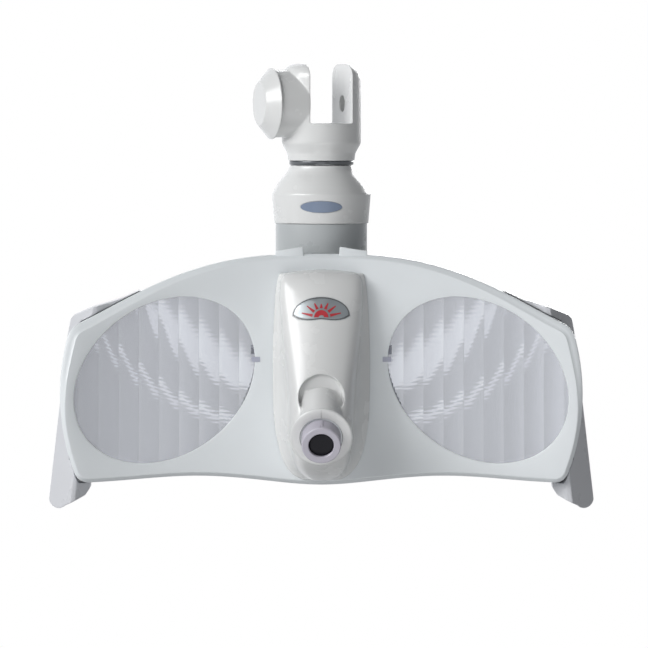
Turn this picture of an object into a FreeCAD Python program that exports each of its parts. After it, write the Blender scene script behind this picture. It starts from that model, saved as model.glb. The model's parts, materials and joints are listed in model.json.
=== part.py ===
"""Dental operating light: arm knuckle, swivelling neck and tilting twin-reflector head.

Frame: millimetres, +Z up, the light's front faces -Y and +X is to the right of someone who faces the light.
The origin is the centre of the arm pivot bore, from which everything else hangs.
"""

import FreeCAD, Part
import math
import os
import re

import Sketcher
from BOPTools import SplitAPI
from FreeCAD import Matrix, Placement, Rotation, Vector

DIMS = {
    # arm knuckle, a turned housing with a slot for the arm's tongue
    "knuckle_r": 40, "knuckle_waist_r": 34.5, "knuckle_end_r": 33.5,
    "z_knuckle_top": 40, "z_slot_floor": -20, "z_clip_seat": -26, "z_knuckle_edge": -40, "z_knuckle_waist": -50,
    "knuckle_round": 14, "knuckle_turn": 18, "slot_w": 44, "pivot_bore_r": 8,
    "boss_r": 34, "boss_end": 52, "cap_r": 36, "cap_face_r": 22, "cap_t": 14, "cap_wall": 3,
    "bush_r": 12, "bush_flange_r": 15, "bush_flange_t": 2, "clip_seat_r": 16,
    # swivel ring and spindle
    "ring_r": 32.5, "ring_in_r": 26, "z_ring_top": -57.5, "z_ring_bottom": -62,
    "spindle_r": 9.95, "spindle_bore_r": 10, "spindle_in_r": 6.5, "z_spindle_top": -20.5,
    "z_groove_top": -22.2, "z_groove_bottom": -23.9, "groove_r": 8.8,
    "flange_r": 28, "z_flange_top": -71.2, "z_flange_bottom": -77,
    "stop_ring_r": 22, "stop_pin_r": 2.5, "stop_arc": 276,
    "screw_ring_r": 14.5, "screw_r": 2.5, "screw_head_r": 4.2, "screw_head_t": 5,
    # neck bell, badge and sleeve
    "z_bell_top": -62.3, "z_bell_edge": -91, "z_bell_bottom": -121, "bell_top_r": 32, "bell_r": 50,
    "bell_bottom_r": 47.6, "wall": 3, "badge_w": 41.8, "badge_tall": 11.4, "z_badge": -103.7,
    "sleeve_r": 46.2, "spigot_r": 44.3, "spigot_tall": 9,
    # tilt joint
    "z_tilt": -185, "yoke_in": 22, "yoke_t": 8, "yoke_w": 34, "tilt_pin_r": 6, "tilt_bore_r": 6.05,
    "tilt_bush_r": 9, "tilt_bush_flange_r": 12, "tilt_bush_flange_t": 1.5, "yoke_plate_t": 6,
    "cheek_in": 51, "cheek_t": 5, "pin_head_r": 9, "pin_head_t": 3,
    "tilt_up": 15, "tilt_down": 70, "sweep_r": 48.5,
    # head shell: its front is a dish curved about a vertical axis
    "dish_r": 700, "y_panel": -66, "skin": 3, "rim_depth": 26, "rear_depth": 72, "back_wall": 2.5,
    "panel_half": 260.5, "z_panel_top": -150.3, "z_panel_bottom": -382.2, "corner_r": 13,
    "window_x": 156.6, "z_window": -276, "window_a": 96.5, "window_b": 75.5, "window_turn": 35.5,
    "bowl_depth": 52, "bowl_margin": 4, "bowl_wall": 2,
    # hub cover at the back
    "hub_half": 62.5, "y_hub_back": 54, "z_hub_top": -158, "z_hub_bottom": -375,
    "hub_round": 16,
    # nose and camera
    "y_skirt": -80, "skirt_half": 47.5, "z_skirt_top": -166, "z_skirt_bottom": -378.5,
    "nose_wall": 2.5, "snout_dip": 23, "y_snout": -158, "z_snout": -330.4, "snout_face_r": 31.5,
    "snout_r": 21.75, "snout_bore_r": 20.9, "barrel_r": 19.3, "camera_ring_r": 19.5, "lens_r": 12.5,
    "barrel_out": 14, "camera_ring_t": 4,
    # handles
    "z_handle_end": -405, "handle_lean": 22, "bracket_from": 208, "bracket_to": 247.5,
    "z_bracket": -249, "bracket_tall": 26, "bracket_t": 10, "y_bracket": -43,
    "button_r": 6, "button_x": 240, "z_button": -284, "y_handle_back": -32,
}

DOC = FreeCAD.newDocument("dental_light")
SHEET = DOC.addObject("Spreadsheet::Sheet", "Dims")
NODES = {}
UP, ACROSS, BACK = Vector(0, 0, 1), Vector(1, 0, 0), Vector(0, 1, 0)


# ---------------------------------------------------------------- helpers

def fill_sheet():
    """One row for each driving dimension: its name, and its value under an alias."""
    for row, (name, value) in enumerate(DIMS.items(), start=1):
        SHEET.set(f"A{row}", name)
        SHEET.set(f"B{row}", str(value))
        SHEET.setAlias(f"B{row}", name)
    DOC.recompute()


def bound(text):
    """The expression with each dimension's name pointing into the sheet."""
    return re.sub(r"[a-z_]\w*", lambda m: f"Dims.{m[0]}" if m[0] in DIMS else m[0], str(text))


def val(text):
    """The number that an expression of dimensions gives."""
    return float(SHEET.evalExpression(bound(text)))


def bind(obj, **properties):
    """Binds properties of an object to expressions of dimensions."""
    for name, text in properties.items():
        obj.setExpression(name.replace("__", "."), bound(text))
    return obj


def node(label, obj):
    """Names a finished sub-part and keeps it for export."""
    obj.Label = label
    NODES[label] = obj
    return obj


def place(obj, base=(0, 0, 0), rotation=None):
    """Puts an object at a point given by expressions, turned by a rotation."""
    x, y, z = (val(c) for c in base)
    obj.Placement = Placement(Vector(x, y, z), rotation or Rotation())
    for axis, text in zip("xyz", base):
        if not isinstance(text, (int, float)):
            obj.setExpression(f"Placement.Base.{axis}", bound(text))
    return obj


def aimed(direction):
    """The rotation that carries +Z to a direction."""
    return Rotation(UP, Vector(*direction))


def new_sketch(body, plane, shapes):
    """A constrained sketch on one of the body's origin planes.

    shapes holds closed polygons, as lists of (x, y) expressions, and circles, as (x, y, radius)."""
    sketch = body.newObject("Sketcher::SketchObject", body.Name + "_sketch")
    sketch.AttachmentSupport = [(next(f for f in body.Origin.OriginFeatures if f.Role == plane), "")]
    sketch.MapMode = "FlatFace"
    for shape in shapes:
        if isinstance(shape, tuple):
            add_circle(sketch, *shape)
        else:
            add_polygon(sketch, shape)
    return sketch


def pin_point(sketch, index, end, x, y):
    """Ties a vertex to its x and y expressions."""
    for kind, text, axis in (("DistanceX", x, -2), ("DistanceY", y, -1)):
        if abs(val(text)) < 1e-9:
            sketch.addConstraint(Sketcher.Constraint("PointOnObject", index, end, axis))
            continue
        at = sketch.addConstraint(Sketcher.Constraint(kind, -1, 1, index, end, val(text)))
        if not isinstance(text, (int, float)):
            sketch.setExpression(f"Constraints[{at}]", bound(text))


def add_polygon(sketch, points):
    """A closed polygon through the given points."""
    first = len(sketch.Geometry)
    count = len(points)
    at = [Vector(val(x), val(y), 0) for x, y in points]
    for i in range(count):
        sketch.addGeometry(Part.LineSegment(at[i], at[(i + 1) % count]))
    for i in range(count):
        sketch.addConstraint(Sketcher.Constraint("Coincident", first + i, 2, first + (i + 1) % count, 1))
    for i, (x, y) in enumerate(points):
        pin_point(sketch, first + i, 1, x, y)


def add_circle(sketch, x, y, radius):
    """A circle at a point."""
    index = sketch.addGeometry(Part.Circle(Vector(val(x), val(y), 0), UP, val(radius)))
    pin_point(sketch, index, 3, x, y)
    at = sketch.addConstraint(Sketcher.Constraint("Radius", index, val(radius)))
    if not isinstance(radius, (int, float)):
        sketch.setExpression(f"Constraints[{at}]", bound(radius))


def new_body(name):
    """An empty PartDesign body."""
    return DOC.addObject("PartDesign::Body", name)


def feature(body, kind, plane, shapes, **settings):
    """A sketch-based PartDesign feature; settings are its properties, and text ones are expressions."""
    sketch = new_sketch(body, plane, shapes)
    made = body.newObject("PartDesign::" + kind, f"{body.Name}_{kind}")
    made.Profile = (sketch, [""])
    if kind in ("Revolution", "Groove"):
        made.ReferenceAxis = (sketch, ["V_Axis"])
        made.Angle = 360
    for name, value in settings.items():
        if isinstance(value, str) and name in ("Length", "Angle"):
            bind(made, **{name: value})
        else:
            setattr(made, name, value)
    DOC.recompute()
    return made


def turned(label, profile, base=(0, 0, 0), rotation=None):
    """A turned piece: a profile of (radius, height) spun about its own Z axis."""
    body = new_body(label)
    feature(body, "Revolution", "XZ_Plane", [profile])
    return node(label, place(body, base, rotation))


def milled(label, plane, outline, thickness, holes=(), base=(0, 0, 0), rotation=None):
    """A plate: an outline padded both ways from its plane, with circular holes."""
    body = new_body(label)
    feature(body, "Pad", plane, [outline, *holes], Length=thickness, Midplane=True)
    return node(label, place(body, base, rotation))


def rounded(body, radius, chosen):
    """Fillets those edges of the body's tip for which chosen(edge) is true."""
    tip = body.Tip
    names = [f"Edge{i + 1}" for i, edge in enumerate(tip.Shape.Edges) if chosen(edge)]
    fillet = body.newObject("PartDesign::Fillet", body.Name + "_fillet")
    fillet.Base = (tip, names)
    bind(fillet, Radius=radius)
    DOC.recompute()
    return fillet


def rod(name, radius, length, base=(0, 0, 0), direction=(0, 0, 1)):
    """A cylinder primitive from a base point along a direction."""
    made = DOC.addObject("Part::Cylinder", name)
    bind(made, Radius=radius, Height=length)
    return place(made, base, aimed(direction))


def block(name, low, high):
    """A box primitive between two corners."""
    made = DOC.addObject("Part::Box", name)
    sizes = [f"({h}) - ({l})" for l, h in zip(low, high)]
    bind(made, Length=sizes[0], Width=sizes[1], Height=sizes[2])
    return place(made, low)


def fuse(name, *shapes):
    made = DOC.addObject("Part::MultiFuse", name)
    made.Shapes = list(shapes)
    return made


def cut(name, base, *tools):
    made = DOC.addObject("Part::Cut", name)
    made.Base = base
    made.Tool = tools[0] if len(tools) == 1 else fuse(name + "_tools", *tools)
    return made


def common(name, *shapes):
    made = DOC.addObject("Part::MultiCommon", name)
    made.Shapes = list(shapes)
    return made


def mirrored(label, source):
    """The left-hand twin of a right-hand piece."""
    made = DOC.addObject("Part::Mirroring", label)
    made.Source = source
    made.Normal = ACROSS
    return node(label, made)


def solid(label, shape):
    """A sub-part whose shape comes from Part's own functions."""
    made = DOC.addObject("Part::Feature", label)
    made.Shape = shape
    return node(label, made)


def ringed(count, radius, start=45):
    """Points spread evenly on a circle, as (x, y)."""
    step = 360 / count
    return [(radius * math.cos(math.radians(start + i * step)),
             radius * math.sin(math.radians(start + i * step))) for i in range(count)]


# ---------------------------------------------------------------- arm knuckle

def knuckle_frame(*point):
    """A point of the knuckle's own axes, as expressions, turned with the knuckle."""
    x, y, z = point
    return (f"({x}) * cos(knuckle_turn * 1deg) - ({y}) * sin(knuckle_turn * 1deg)",
            f"({x}) * sin(knuckle_turn * 1deg) + ({y}) * cos(knuckle_turn * 1deg)", z)


def knuckle_housing():
    body = new_body("knuckle_housing")
    feature(body, "Revolution", "XZ_Plane", [[
        (0, "z_ring_top"), ("knuckle_end_r", "z_ring_top"), ("knuckle_waist_r", "z_knuckle_waist"),
        ("knuckle_r", "z_knuckle_edge"), ("knuckle_r", "z_knuckle_top"), (0, "z_knuckle_top")]])
    rounded(body, "knuckle_round", lambda e: e.BoundBox.ZMin > val("z_knuckle_top") - 0.1)
    rounded(body, "7", lambda e: e.BoundBox.ZLength < 0.1 and e.BoundBox.XLength > 70
            and abs(e.BoundBox.ZMax - val("z_knuckle_edge")) < 0.1)
    feature(body, "Pad", "YZ_Plane", [(0, 0, "boss_r")], Length="boss_end", Reversed=True)
    feature(body, "Pocket", "XZ_Plane",
            [[("-slot_w / 2", "z_slot_floor"), ("slot_w / 2", "z_slot_floor"),
              ("slot_w / 2", "z_knuckle_top + 5"), ("-slot_w / 2", "z_knuckle_top + 5")]],
            Length="4 * knuckle_r", Midplane=True)
    feature(body, "Groove", "XZ_Plane",
            [[(0, "z_ring_top - 1"), ("bush_r", "z_ring_top - 1"), ("bush_r", "z_clip_seat"),
              ("clip_seat_r", "z_clip_seat"), ("clip_seat_r", "z_slot_floor + 1"), (0, "z_slot_floor + 1")]])
    feature(body, "Pocket", "YZ_Plane", [(0, 0, "pivot_bore_r")], Length="4 * knuckle_r", Midplane=True)
    feature(body, "Groove", "YZ_Plane",
            [[("stop_ring_r - stop_pin_r", "z_ring_top - 1"), ("stop_ring_r + stop_pin_r", "z_ring_top - 1"),
              ("stop_ring_r + stop_pin_r", "z_ring_top + 8"), ("stop_ring_r - stop_pin_r", "z_ring_top + 8")]],
            Angle=13, Midplane=True)
    return node("knuckle_housing", place(body, (0, 0, 0), Rotation(UP, val("knuckle_turn"))))


def knuckle_cap():
    """The round cover over the closed end of the arm pivot."""
    outward = knuckle_frame(-1, 0, 0)
    body = turned("knuckle_cap", [
        ("cap_r - 5", 0), ("cap_r", 0), ("cap_r", 1.5), ("cap_face_r", "cap_t"), (0, "cap_t"),
        (0, "cap_t - cap_wall"), ("cap_face_r - 2", "cap_t - cap_wall"), ("cap_r - 5", 1.5)],
        knuckle_frame("-boss_end", 0, 0), aimed([val(c) for c in outward]))
    rounded(body, "2", lambda e: abs(e.BoundBox.ZMin - e.BoundBox.ZMax) < 0.1
            and abs(e.BoundBox.ZMax - val("cap_t")) < 0.1)
    return body


def spindle_bush():
    """The flanged bearing bush that the swivel spindle turns in."""
    turned("spindle_bush", [
        ("spindle_bore_r", "z_ring_top"), ("bush_r", "z_ring_top"), ("bush_r", "z_clip_seat"),
        ("bush_flange_r", "z_clip_seat"), ("bush_flange_r", "z_clip_seat + bush_flange_t"),
        ("spindle_bore_r", "z_clip_seat + bush_flange_t")])


def swivel_ring():
    """The bright thrust ring between the knuckle and the neck."""
    body = turned("swivel_ring", [
        ("ring_in_r", "z_ring_bottom"), ("ring_r", "z_ring_bottom"), ("ring_r", "z_ring_top"),
        ("ring_in_r", "z_ring_top")])
    rounded(body, "1.2", lambda e: e.BoundBox.XLength > 2 * val("ring_r") - 0.1
            and e.BoundBox.ZLength < 0.1)


def yaw_stop():
    """A key in the knuckle's end face that runs in the neck's arc groove and limits the swivel."""
    body = new_body("yaw_stop_key")
    low, high = "z_ring_bottom - 5.5", "z_ring_top + 8"
    feature(body, "Revolution", "YZ_Plane",
            [[("stop_ring_r - stop_pin_r", low), ("stop_ring_r + stop_pin_r", low),
              ("stop_ring_r + stop_pin_r", high), ("stop_ring_r - stop_pin_r", high)]],
            Angle=13, Midplane=True)
    node("yaw_stop_key", place(body, (0, 0, 0), Rotation(UP, val("knuckle_turn"))))


# ---------------------------------------------------------------- neck

def yaw_spindle():
    body = new_body("yaw_spindle")
    feature(body, "Revolution", "XZ_Plane", [[
        ("spindle_in_r", "z_spindle_top"), ("spindle_r", "z_spindle_top"), ("spindle_r", "z_groove_top"),
        ("groove_r", "z_groove_top"), ("groove_r", "z_groove_bottom"), ("spindle_r", "z_groove_bottom"),
        ("spindle_r", "z_flange_top"), ("flange_r", "z_flange_top"), ("flange_r", "z_flange_bottom"),
        ("spindle_in_r", "z_flange_bottom")]])
    feature(body, "Pocket", "XY_Plane", [(x, y, "screw_r") for x, y in ringed(4, val("screw_ring_r"))],
            Length=200, Midplane=True)
    node("yaw_spindle", body)


def spindle_clip():
    """The open retaining ring that carries the head's weight on the upper bush."""
    body = new_body("spindle_clip")
    low, high = "z_groove_bottom + 0.1", "z_groove_top - 0.1"
    feature(body, "Revolution", "XZ_Plane",
            [[("groove_r + 0.1", low), ("groove_r + 4.5", low), ("groove_r + 4.5", high),
              ("groove_r + 0.1", high)]], Angle=305, Midplane=True)
    node("spindle_clip", body)


def neck_bell():
    """The flared housing under the swivel ring; its badge sits in an oval recess."""
    body = new_body("neck_bell_shell")
    feature(body, "Revolution", "XZ_Plane", [[
        ("spindle_r + 0.4", "z_bell_top"), ("bell_top_r", "z_bell_top"), ("bell_top_r + 0.9", "z_bell_top - 3"),
        ("bell_top_r + 2.4", "z_bell_top - 6"), ("bell_top_r + 4.6", "z_bell_top - 9"),
        ("bell_top_r + 7.4", "z_bell_top - 12.2"), ("bell_top_r + 10.4", "z_bell_top - 16"),
        ("bell_top_r + 13.2", "z_bell_top - 20.2"), ("bell_top_r + 15.6", "z_bell_top - 24.6"),
        ("bell_r", "z_bell_edge"), ("bell_bottom_r", "z_bell_bottom"),
        ("bell_bottom_r - wall", "z_bell_bottom"), ("bell_r - wall - 0.3", "z_bell_edge - 1"),
        ("bell_top_r + 7.5", "z_bell_top - 18.5"), ("flange_r + 1", "z_bell_top - 12"),
        ("flange_r + 1", "z_flange_top"), ("spindle_r + 0.4", "z_flange_top")]])
    rounded(body, "2.5", lambda e: e.BoundBox.ZLength < 0.1 and abs(e.BoundBox.XLength / 2 - val("bell_r")) < 0.1)
    feature(body, "Groove", "YZ_Plane",
            [[("stop_ring_r - stop_pin_r - 1", "z_bell_top + 1"), ("stop_ring_r + stop_pin_r + 1", "z_bell_top + 1"),
              ("stop_ring_r + stop_pin_r + 1", "z_bell_top - 6.2"),
              ("stop_ring_r - stop_pin_r - 1", "z_bell_top - 6.2")]], Angle="stop_arc", Midplane=True)
    turn = val("knuckle_turn")
    feature(body, "Pocket", "XY_Plane", [(x, y, "screw_r") for x, y in ringed(4, val("screw_ring_r"), 45 - turn)],
            Length="-2 * z_bell_top + 30", Midplane=True)
    place(body, (0, 0, 0), Rotation(UP, turn))
    recess = badge_slice("badge_recess", 0.2, 3, -1.2)
    node("neck_bell", cut("neck_bell", body, recess))
    node("neck_badge", badge_slice("neck_badge", 0, 0.5, -1.2))


def badge_slice(name, margin, skin_out, skin_in):
    """The part of an oval prism that lies between two cones parallel to the bell's band."""
    oval = DOC.addObject("Part::Ellipse", name + "_oval")
    bind(oval, MajorRadius=f"badge_w / 2 + {margin}", MinorRadius=f"badge_tall / 2 + {margin}")
    place(oval, (0, "-bell_r - 8", "z_badge"), Rotation(ACROSS, 90))
    prism = DOC.addObject("Part::Extrusion", name + "_prism")
    prism.Base = oval
    prism.Dir = BACK
    prism.Solid = True
    bind(prism, LengthFwd="bell_r - 10")
    cones = []
    for side, grow in (("out", skin_out), ("in", skin_in)):
        cone = DOC.addObject("Part::Cone", f"{name}_{side}")
        bind(cone, Radius1=f"bell_bottom_r + {grow}", Radius2=f"bell_r + {grow}",
             Height="z_bell_edge - z_bell_bottom")
        cones.append(place(cone, (0, 0, "z_bell_bottom")))
    return cut(name, common(name + "_outer", prism, cones[0]), cones[1])


def drum_shell(name, radius):
    """A vertical cylinder whose lower end is rounded about the tilt axis."""
    column = rod(name + "_column", radius, f"z_bell_bottom - 0.2 - z_tilt + {radius}",
                 (0, 0, f"z_tilt - ({radius})"))
    drum = rod(name + "_drum", radius, f"2 * ({radius}) + 4", (f"-({radius}) - 2", 0, "z_tilt"), (1, 0, 0))
    above = block(name + "_above", ("-bell_r", "-bell_r", "z_tilt"), ("bell_r", "bell_r", "z_bell_bottom"))
    return common(name, column, fuse(name + "_ends", drum, above))


def neck_sleeve():
    outer = drum_shell("sleeve_outer", "sleeve_r")
    inner = drum_shell("sleeve_inner", "sleeve_r - wall")
    spigot = rod("sleeve_spigot", "spigot_r", "spigot_tall + 1", (0, 0, "z_bell_bottom - 1"))
    bore = rod("sleeve_bore", "spigot_r - wall", 30, (0, 0, "z_bell_bottom - 15"))
    pin_hole = rod("sleeve_pin_hole", "tilt_pin_r + 2", "4 * sleeve_r", ("-2 * sleeve_r", 0, "z_tilt"), (1, 0, 0))
    node("neck_sleeve", cut("neck_sleeve", fuse("sleeve_body", outer, spigot), inner, bore, pin_hole))


def tilt_yoke():
    """The steel fork bolted under the spindle's flange."""
    low = "z_flange_bottom - yoke_plate_t"
    parts = [rod("yoke_plate", "flange_r - 1", "yoke_plate_t", (0, 0, low))]
    for side, x in (("right", "yoke_in"), ("left", "-yoke_in - yoke_t")):
        far = f"{x} + yoke_t"
        parts.append(block("yoke_ear_" + side, (x, "-yoke_w / 2", "z_tilt"), (far, "yoke_w / 2", low)))
        parts.append(rod("yoke_eye_" + side, "yoke_w / 2", "yoke_t", (x, 0, "z_tilt"), (1, 0, 0)))
        parts.append(block("yoke_lug_" + side, (f"{x} - 2", "-yoke_w / 2", low),
                           (far, "yoke_w / 2", f"{low} + 3")))
    holes = [rod("yoke_cable_hole", "spindle_in_r + 0.5", 20, (0, 0, f"{low} - 5")),
             rod("yoke_bush_hole", "tilt_bush_r", 100, (-50, 0, "z_tilt"), (1, 0, 0))]
    for i, (x, y) in enumerate(ringed(4, val("screw_ring_r"))):
        holes.append(rod(f"yoke_screw_hole_{i}", "screw_r", 20, (x, y, f"{low} - 5")))
    node("tilt_yoke", cut("tilt_yoke", fuse("yoke_body", *parts), *holes))


def neck_screws():
    low = "z_flange_bottom - yoke_plate_t"
    parts = []
    for i, (x, y) in enumerate(ringed(4, val("screw_ring_r"))):
        shank = rod(f"neck_screw_shank_{i}", "screw_r - 0.05", f"z_bell_top - 3 - ({low})", (x, y, low))
        head = rod(f"neck_screw_head_{i}", "screw_head_r", "screw_head_t", (x, y, f"{low} - screw_head_t"))
        key = rod(f"neck_screw_key_{i}", "2", "3", (x, y, f"{low} - screw_head_t"))
        parts.append(cut(f"neck_screw_{i}", fuse(f"neck_screw_blank_{i}", shank, head), key))
    made = DOC.addObject("Part::Compound", "neck_screws")
    made.Links = parts
    node("neck_screws", made)


def tilt_bushes():
    right = turned("tilt_bush_right", [
        ("tilt_bore_r", 0), ("tilt_bush_r", 0), ("tilt_bush_r", "yoke_t"), ("tilt_bush_flange_r", "yoke_t"),
        ("tilt_bush_flange_r", "yoke_t + tilt_bush_flange_t"), ("tilt_bore_r", "yoke_t + tilt_bush_flange_t")],
        ("yoke_in", 0, "z_tilt"), aimed((1, 0, 0)))
    mirrored("tilt_bush_left", right)


def supply_lead():
    """Socket, lead and plug that bring power down the hollow spindle."""
    turned("supply_socket", [
        (0, "z_spindle_top - 16"), ("spindle_in_r - 0.1", "z_spindle_top - 16"),
        ("spindle_in_r - 0.1", "z_spindle_top - 1"), (4.5, "z_spindle_top - 1"), (4.5, "z_spindle_top - 9"),
        (0, "z_spindle_top - 9")])
    turned("supply_lead", [
        (0, "z_flange_bottom - 32"), (3, "z_flange_bottom - 32"), (3, "z_spindle_top - 16"),
        (0, "z_spindle_top - 16")])
    milled("supply_plug", "XZ_Plane", [
        (-8, "z_flange_bottom - 48"), (8, "z_flange_bottom - 48"), (8, "z_flange_bottom - 35"),
        (4, "z_flange_bottom - 32"), (-4, "z_flange_bottom - 32"), (-8, "z_flange_bottom - 35")], "9")


# ---------------------------------------------------------------- head: shapes shared by its shells

def dish(offset, low=-420, high=-120):
    """A solid cylinder whose wall is the head's front surface, moved back by an offset."""
    radius = val("dish_r") + offset
    return Part.makeCylinder(radius, high - low, Vector(0, val("y_panel - dish_r"), low), UP)


def layer(near, far):
    """The space between two depths behind the head's front surface."""
    return dish(far).cut(dish(near))


def dish_y(x, offset=0):
    """Where the front surface, moved back by an offset, lies at a given x."""
    radius = val("dish_r") + offset
    return val("y_panel - dish_r") + math.sqrt(radius ** 2 - x ** 2)


def outline_edges(grow):
    """The head's front outline with sharp corners, made wider by grow: top, right, bottom and left edge."""
    half, top, bottom = val("panel_half"), val("z_panel_top"), val("z_panel_bottom")
    heads = [(half - 10, top - 73), (half - 39, top - 58), (half - 82, top - 36), (half - 134, top - 15.2),
             (half - 173, top - 5.7)]
    feet = [(half - 18, bottom + 4.2), (half - 35, bottom + 4.6), (half - 80, bottom + 7.2),
            (half - 135, bottom + 9.6), (half - 196, bottom + 5.4)]

    upper = [(-x, z) for x, z in heads] + [(0, top)] + list(reversed(heads))
    lower = feet + [(0, bottom)] + [(-x, z) for x, z in reversed(feet)]
    upper, lower = ([Vector(x, 0, z) for x, z in row] for row in (upper, lower))
    top_edge, bottom_edge = Part.BSplineCurve(), Part.BSplineCurve()
    top_edge.interpolate(upper)
    bottom_edge.interpolate(lower)
    right = Part.Arc(upper[-1], Vector(half, 0, -286), lower[0])
    left = Part.Arc(lower[-1], Vector(-half, 0, -286), upper[0])
    wire = Part.Wire([e.toShape() for e in (top_edge, right, bottom_edge, left)])
    return wire.makeOffset2D(grow) if abs(grow) > 1e-9 else wire


def outline_points(grow):
    """Points spaced evenly along the outline, made wider by grow, with its four corners rounded."""
    prism = Part.Face(outline_edges(grow)).extrude(BACK)
    corners = [e for e in prism.Edges if e.BoundBox.YLength > 0.9 and abs(e.Vertexes[0].X) > 200]
    if grow <= 0:
        prism = prism.makeFillet(max(val("corner_r") + grow, 1), corners)
    return prism.slice(BACK, 0.5)[0].discretize(Number=181)[:-1]


def smooth_loop(points):
    """A closed smooth wire through points."""
    curve = Part.BSplineCurve()
    curve.interpolate(points, PeriodicFlag=True)
    return Part.Wire(curve.toShape())


def outline_prism(grow=0.0):
    """The outline drawn through the head's whole depth."""
    wire = smooth_loop([Vector(p.x, -150, p.z) for p in outline_points(grow)])
    return Part.Face(wire).extrude(BACK * 210)


def outline_loop(grow, scale, depth):
    """The outline, shrunk about its middle and laid on the dish at a depth."""
    middle = -270
    return smooth_loop([Vector(p.x * scale, dish_y(p.x * scale, depth), middle + (p.z - middle) * scale)
                        for p in outline_points(grow)])


REAR_STATIONS = [(12, 1.0), (28, 1.0), (38, 0.975), (48, 0.935), (57, 0.88), (65, 0.81), (74, 0.71), (90, 0.5)]


def rear_form(near, far, grow):
    """What lies inside the pillow-shaped back of the head, between two depths."""
    loops = [outline_loop(grow, scale, depth + min(grow, 0)) for depth, scale in REAR_STATIONS]
    wall = Part.makeLoft(loops, False, False)
    slab = layer(near, far).common(box_between((-300, -150, -430), (300, 60, -110)))
    pieces = SplitAPI.slice(slab, [wall], "Split").Solids
    within = Vector(120, dish_y(120, (near + far) / 2), -270)
    return next(piece for piece in pieces if piece.isInside(within, 0.1, False))


def ellipse_prism(side, grow=0.0, low=-150, high=60):
    """The window's oval drawn front to back, on the side +1 or -1."""
    turn = math.radians(val("window_turn"))
    major = Vector(-side * math.cos(turn), 0, math.sin(turn))
    centre = Vector(side * val("window_x"), low, val("z_window"))
    minor = major.cross(BACK)
    oval = Part.Ellipse(centre + major * (val("window_a") + grow), centre + minor * (val("window_b") + grow), centre)
    return Part.Face(Part.Wire(oval.toShape())).extrude(Vector(0, high - low, 0))


def neck_sweep(grow=0.0):
    """Everything that the neck passes through, seen from the head, over the whole tilt range."""
    radius = val("sweep_r") + grow
    reach = 240
    up, down = math.radians(val("tilt_up")), math.radians(val("tilt_down"))
    front = Vector(0, -math.cos(up), -math.sin(up)) * radius
    rear = Vector(0, math.cos(down), -math.sin(down)) * radius
    lean_front = Vector(0, -math.sin(up), math.cos(up)) * reach
    lean_rear = Vector(0, math.sin(down), math.cos(down)) * reach
    axis = Vector(-radius, 0, val("z_tilt"))
    corners = [front, front + lean_front, Vector(0, reach, reach), rear + lean_rear, rear]
    fan = Part.Face(Part.makePolygon([axis + c for c in corners + corners[:1]])).extrude(ACROSS * 2 * radius)
    drum = Part.makeCylinder(radius, 2 * radius, axis, ACROSS)
    return fan.fuse(drum)


def box_between(low, high):
    """A plain box shape between two corners."""
    size = [h - l for l, h in zip(low, high)]
    return Part.makeBox(*size, Vector(*low))


def both(make):
    """The union of a shape made for the right side and for the left."""
    return make(1).fuse(make(-1))


# ---------------------------------------------------------------- head shells

def latch_box(side, grow=0.0):
    """The little tongue at a window's inner edge."""
    inner, outer = 61.5, 70
    low = Vector(inner - grow, -90, -258.5 - grow)
    high = Vector(outer + grow, -40, -253.5 + grow)
    if side < 0:
        low.x, high.x = -high.x, -low.x
    return box_between(low, high)


POSTS = [(78, -200), (80, -336)]


def posts(radius, near, far):
    """The four screw posts, or the holes through them."""
    made = []
    for x, z in POSTS:
        for side in (1, -1):
            y = dish_y(x)
            made.append(Part.makeCylinder(radius, far - near, Vector(side * x, y + near, z), BACK))
    return made


def front_panel():
    """The tray-shaped front shell with two windows, screw posts and a collar beside the neck."""
    rim = outline_prism().common(layer(0, val("rim_depth")))
    hollow = outline_prism(-val("skin")).common(layer(val("skin"), val("rim_depth") + 1))
    shape = rim.cut(hollow)
    tab = Part.Face(Part.makePolygon([Vector(x, -64.5, z) for x, z in
                                      ((17, -156), (18, -142.8), (46, -147.2), (46, -156), (17, -156))]))
    tab = tab.extrude(Vector(0, 4.5, 0))
    shape = shape.fuse([tab, tab.mirror(Vector(), ACROSS)])
    shape = shape.fuse([p.cut(dish(val("skin") - 1)) for p in posts(4.5, 0, 48)])
    shape = shape.cut([both(ellipse_prism), both(lambda side: latch_box(side, 0.2)), neck_sweep()])
    shape = shape.cut([box_between((-30, -90, -355), (30, -40, -245))] + posts(1.7, 30, 60))
    return solid("front_panel", shape)


def windows():
    plug = ellipse_prism(1, -0.3).common(layer(0.8, 3.3))
    flange = ellipse_prism(1, 5).common(layer(3.3, 5.2))
    pane = plug.fuse(flange).removeSplitter()
    mirrored("window_left", solid("window_right", pane.cut(latch_box(1, 0.2))))
    mirrored("window_latch_left", solid("window_latch_right", latch_box(1).common(layer(-0.4, 5.2))))


def bowl(wall):
    """A half-egg solid behind the right window; wall makes it smaller all round."""
    a, b = (val(k) + val("bowl_margin") - wall for k in ("window_a", "window_b"))
    ball = Part.makeSphere(1.0)
    stretch = Matrix()
    stretch.scale(Vector(a, val("bowl_depth") - wall, b))
    ball = ball.transformGeometry(stretch)
    ball.rotate(Vector(), BACK, val("window_turn"))
    ball.rotate(Vector(), UP, -math.degrees(math.asin(val("window_x") / val("dish_r"))))
    ball.translate(Vector(val("window_x"), dish_y(val("window_x")), val("z_window")))
    return ball


def reflectors():
    shell = bowl(0).cut(bowl(val("bowl_wall"))).cut(dish(5.5))
    notch = box_between((40, -90, -306), (72, -20, -270))
    shell = shell.cut([notch] + posts(5.5, 0, 60))
    mirrored("reflector_left", solid("reflector_right", shell))


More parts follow.
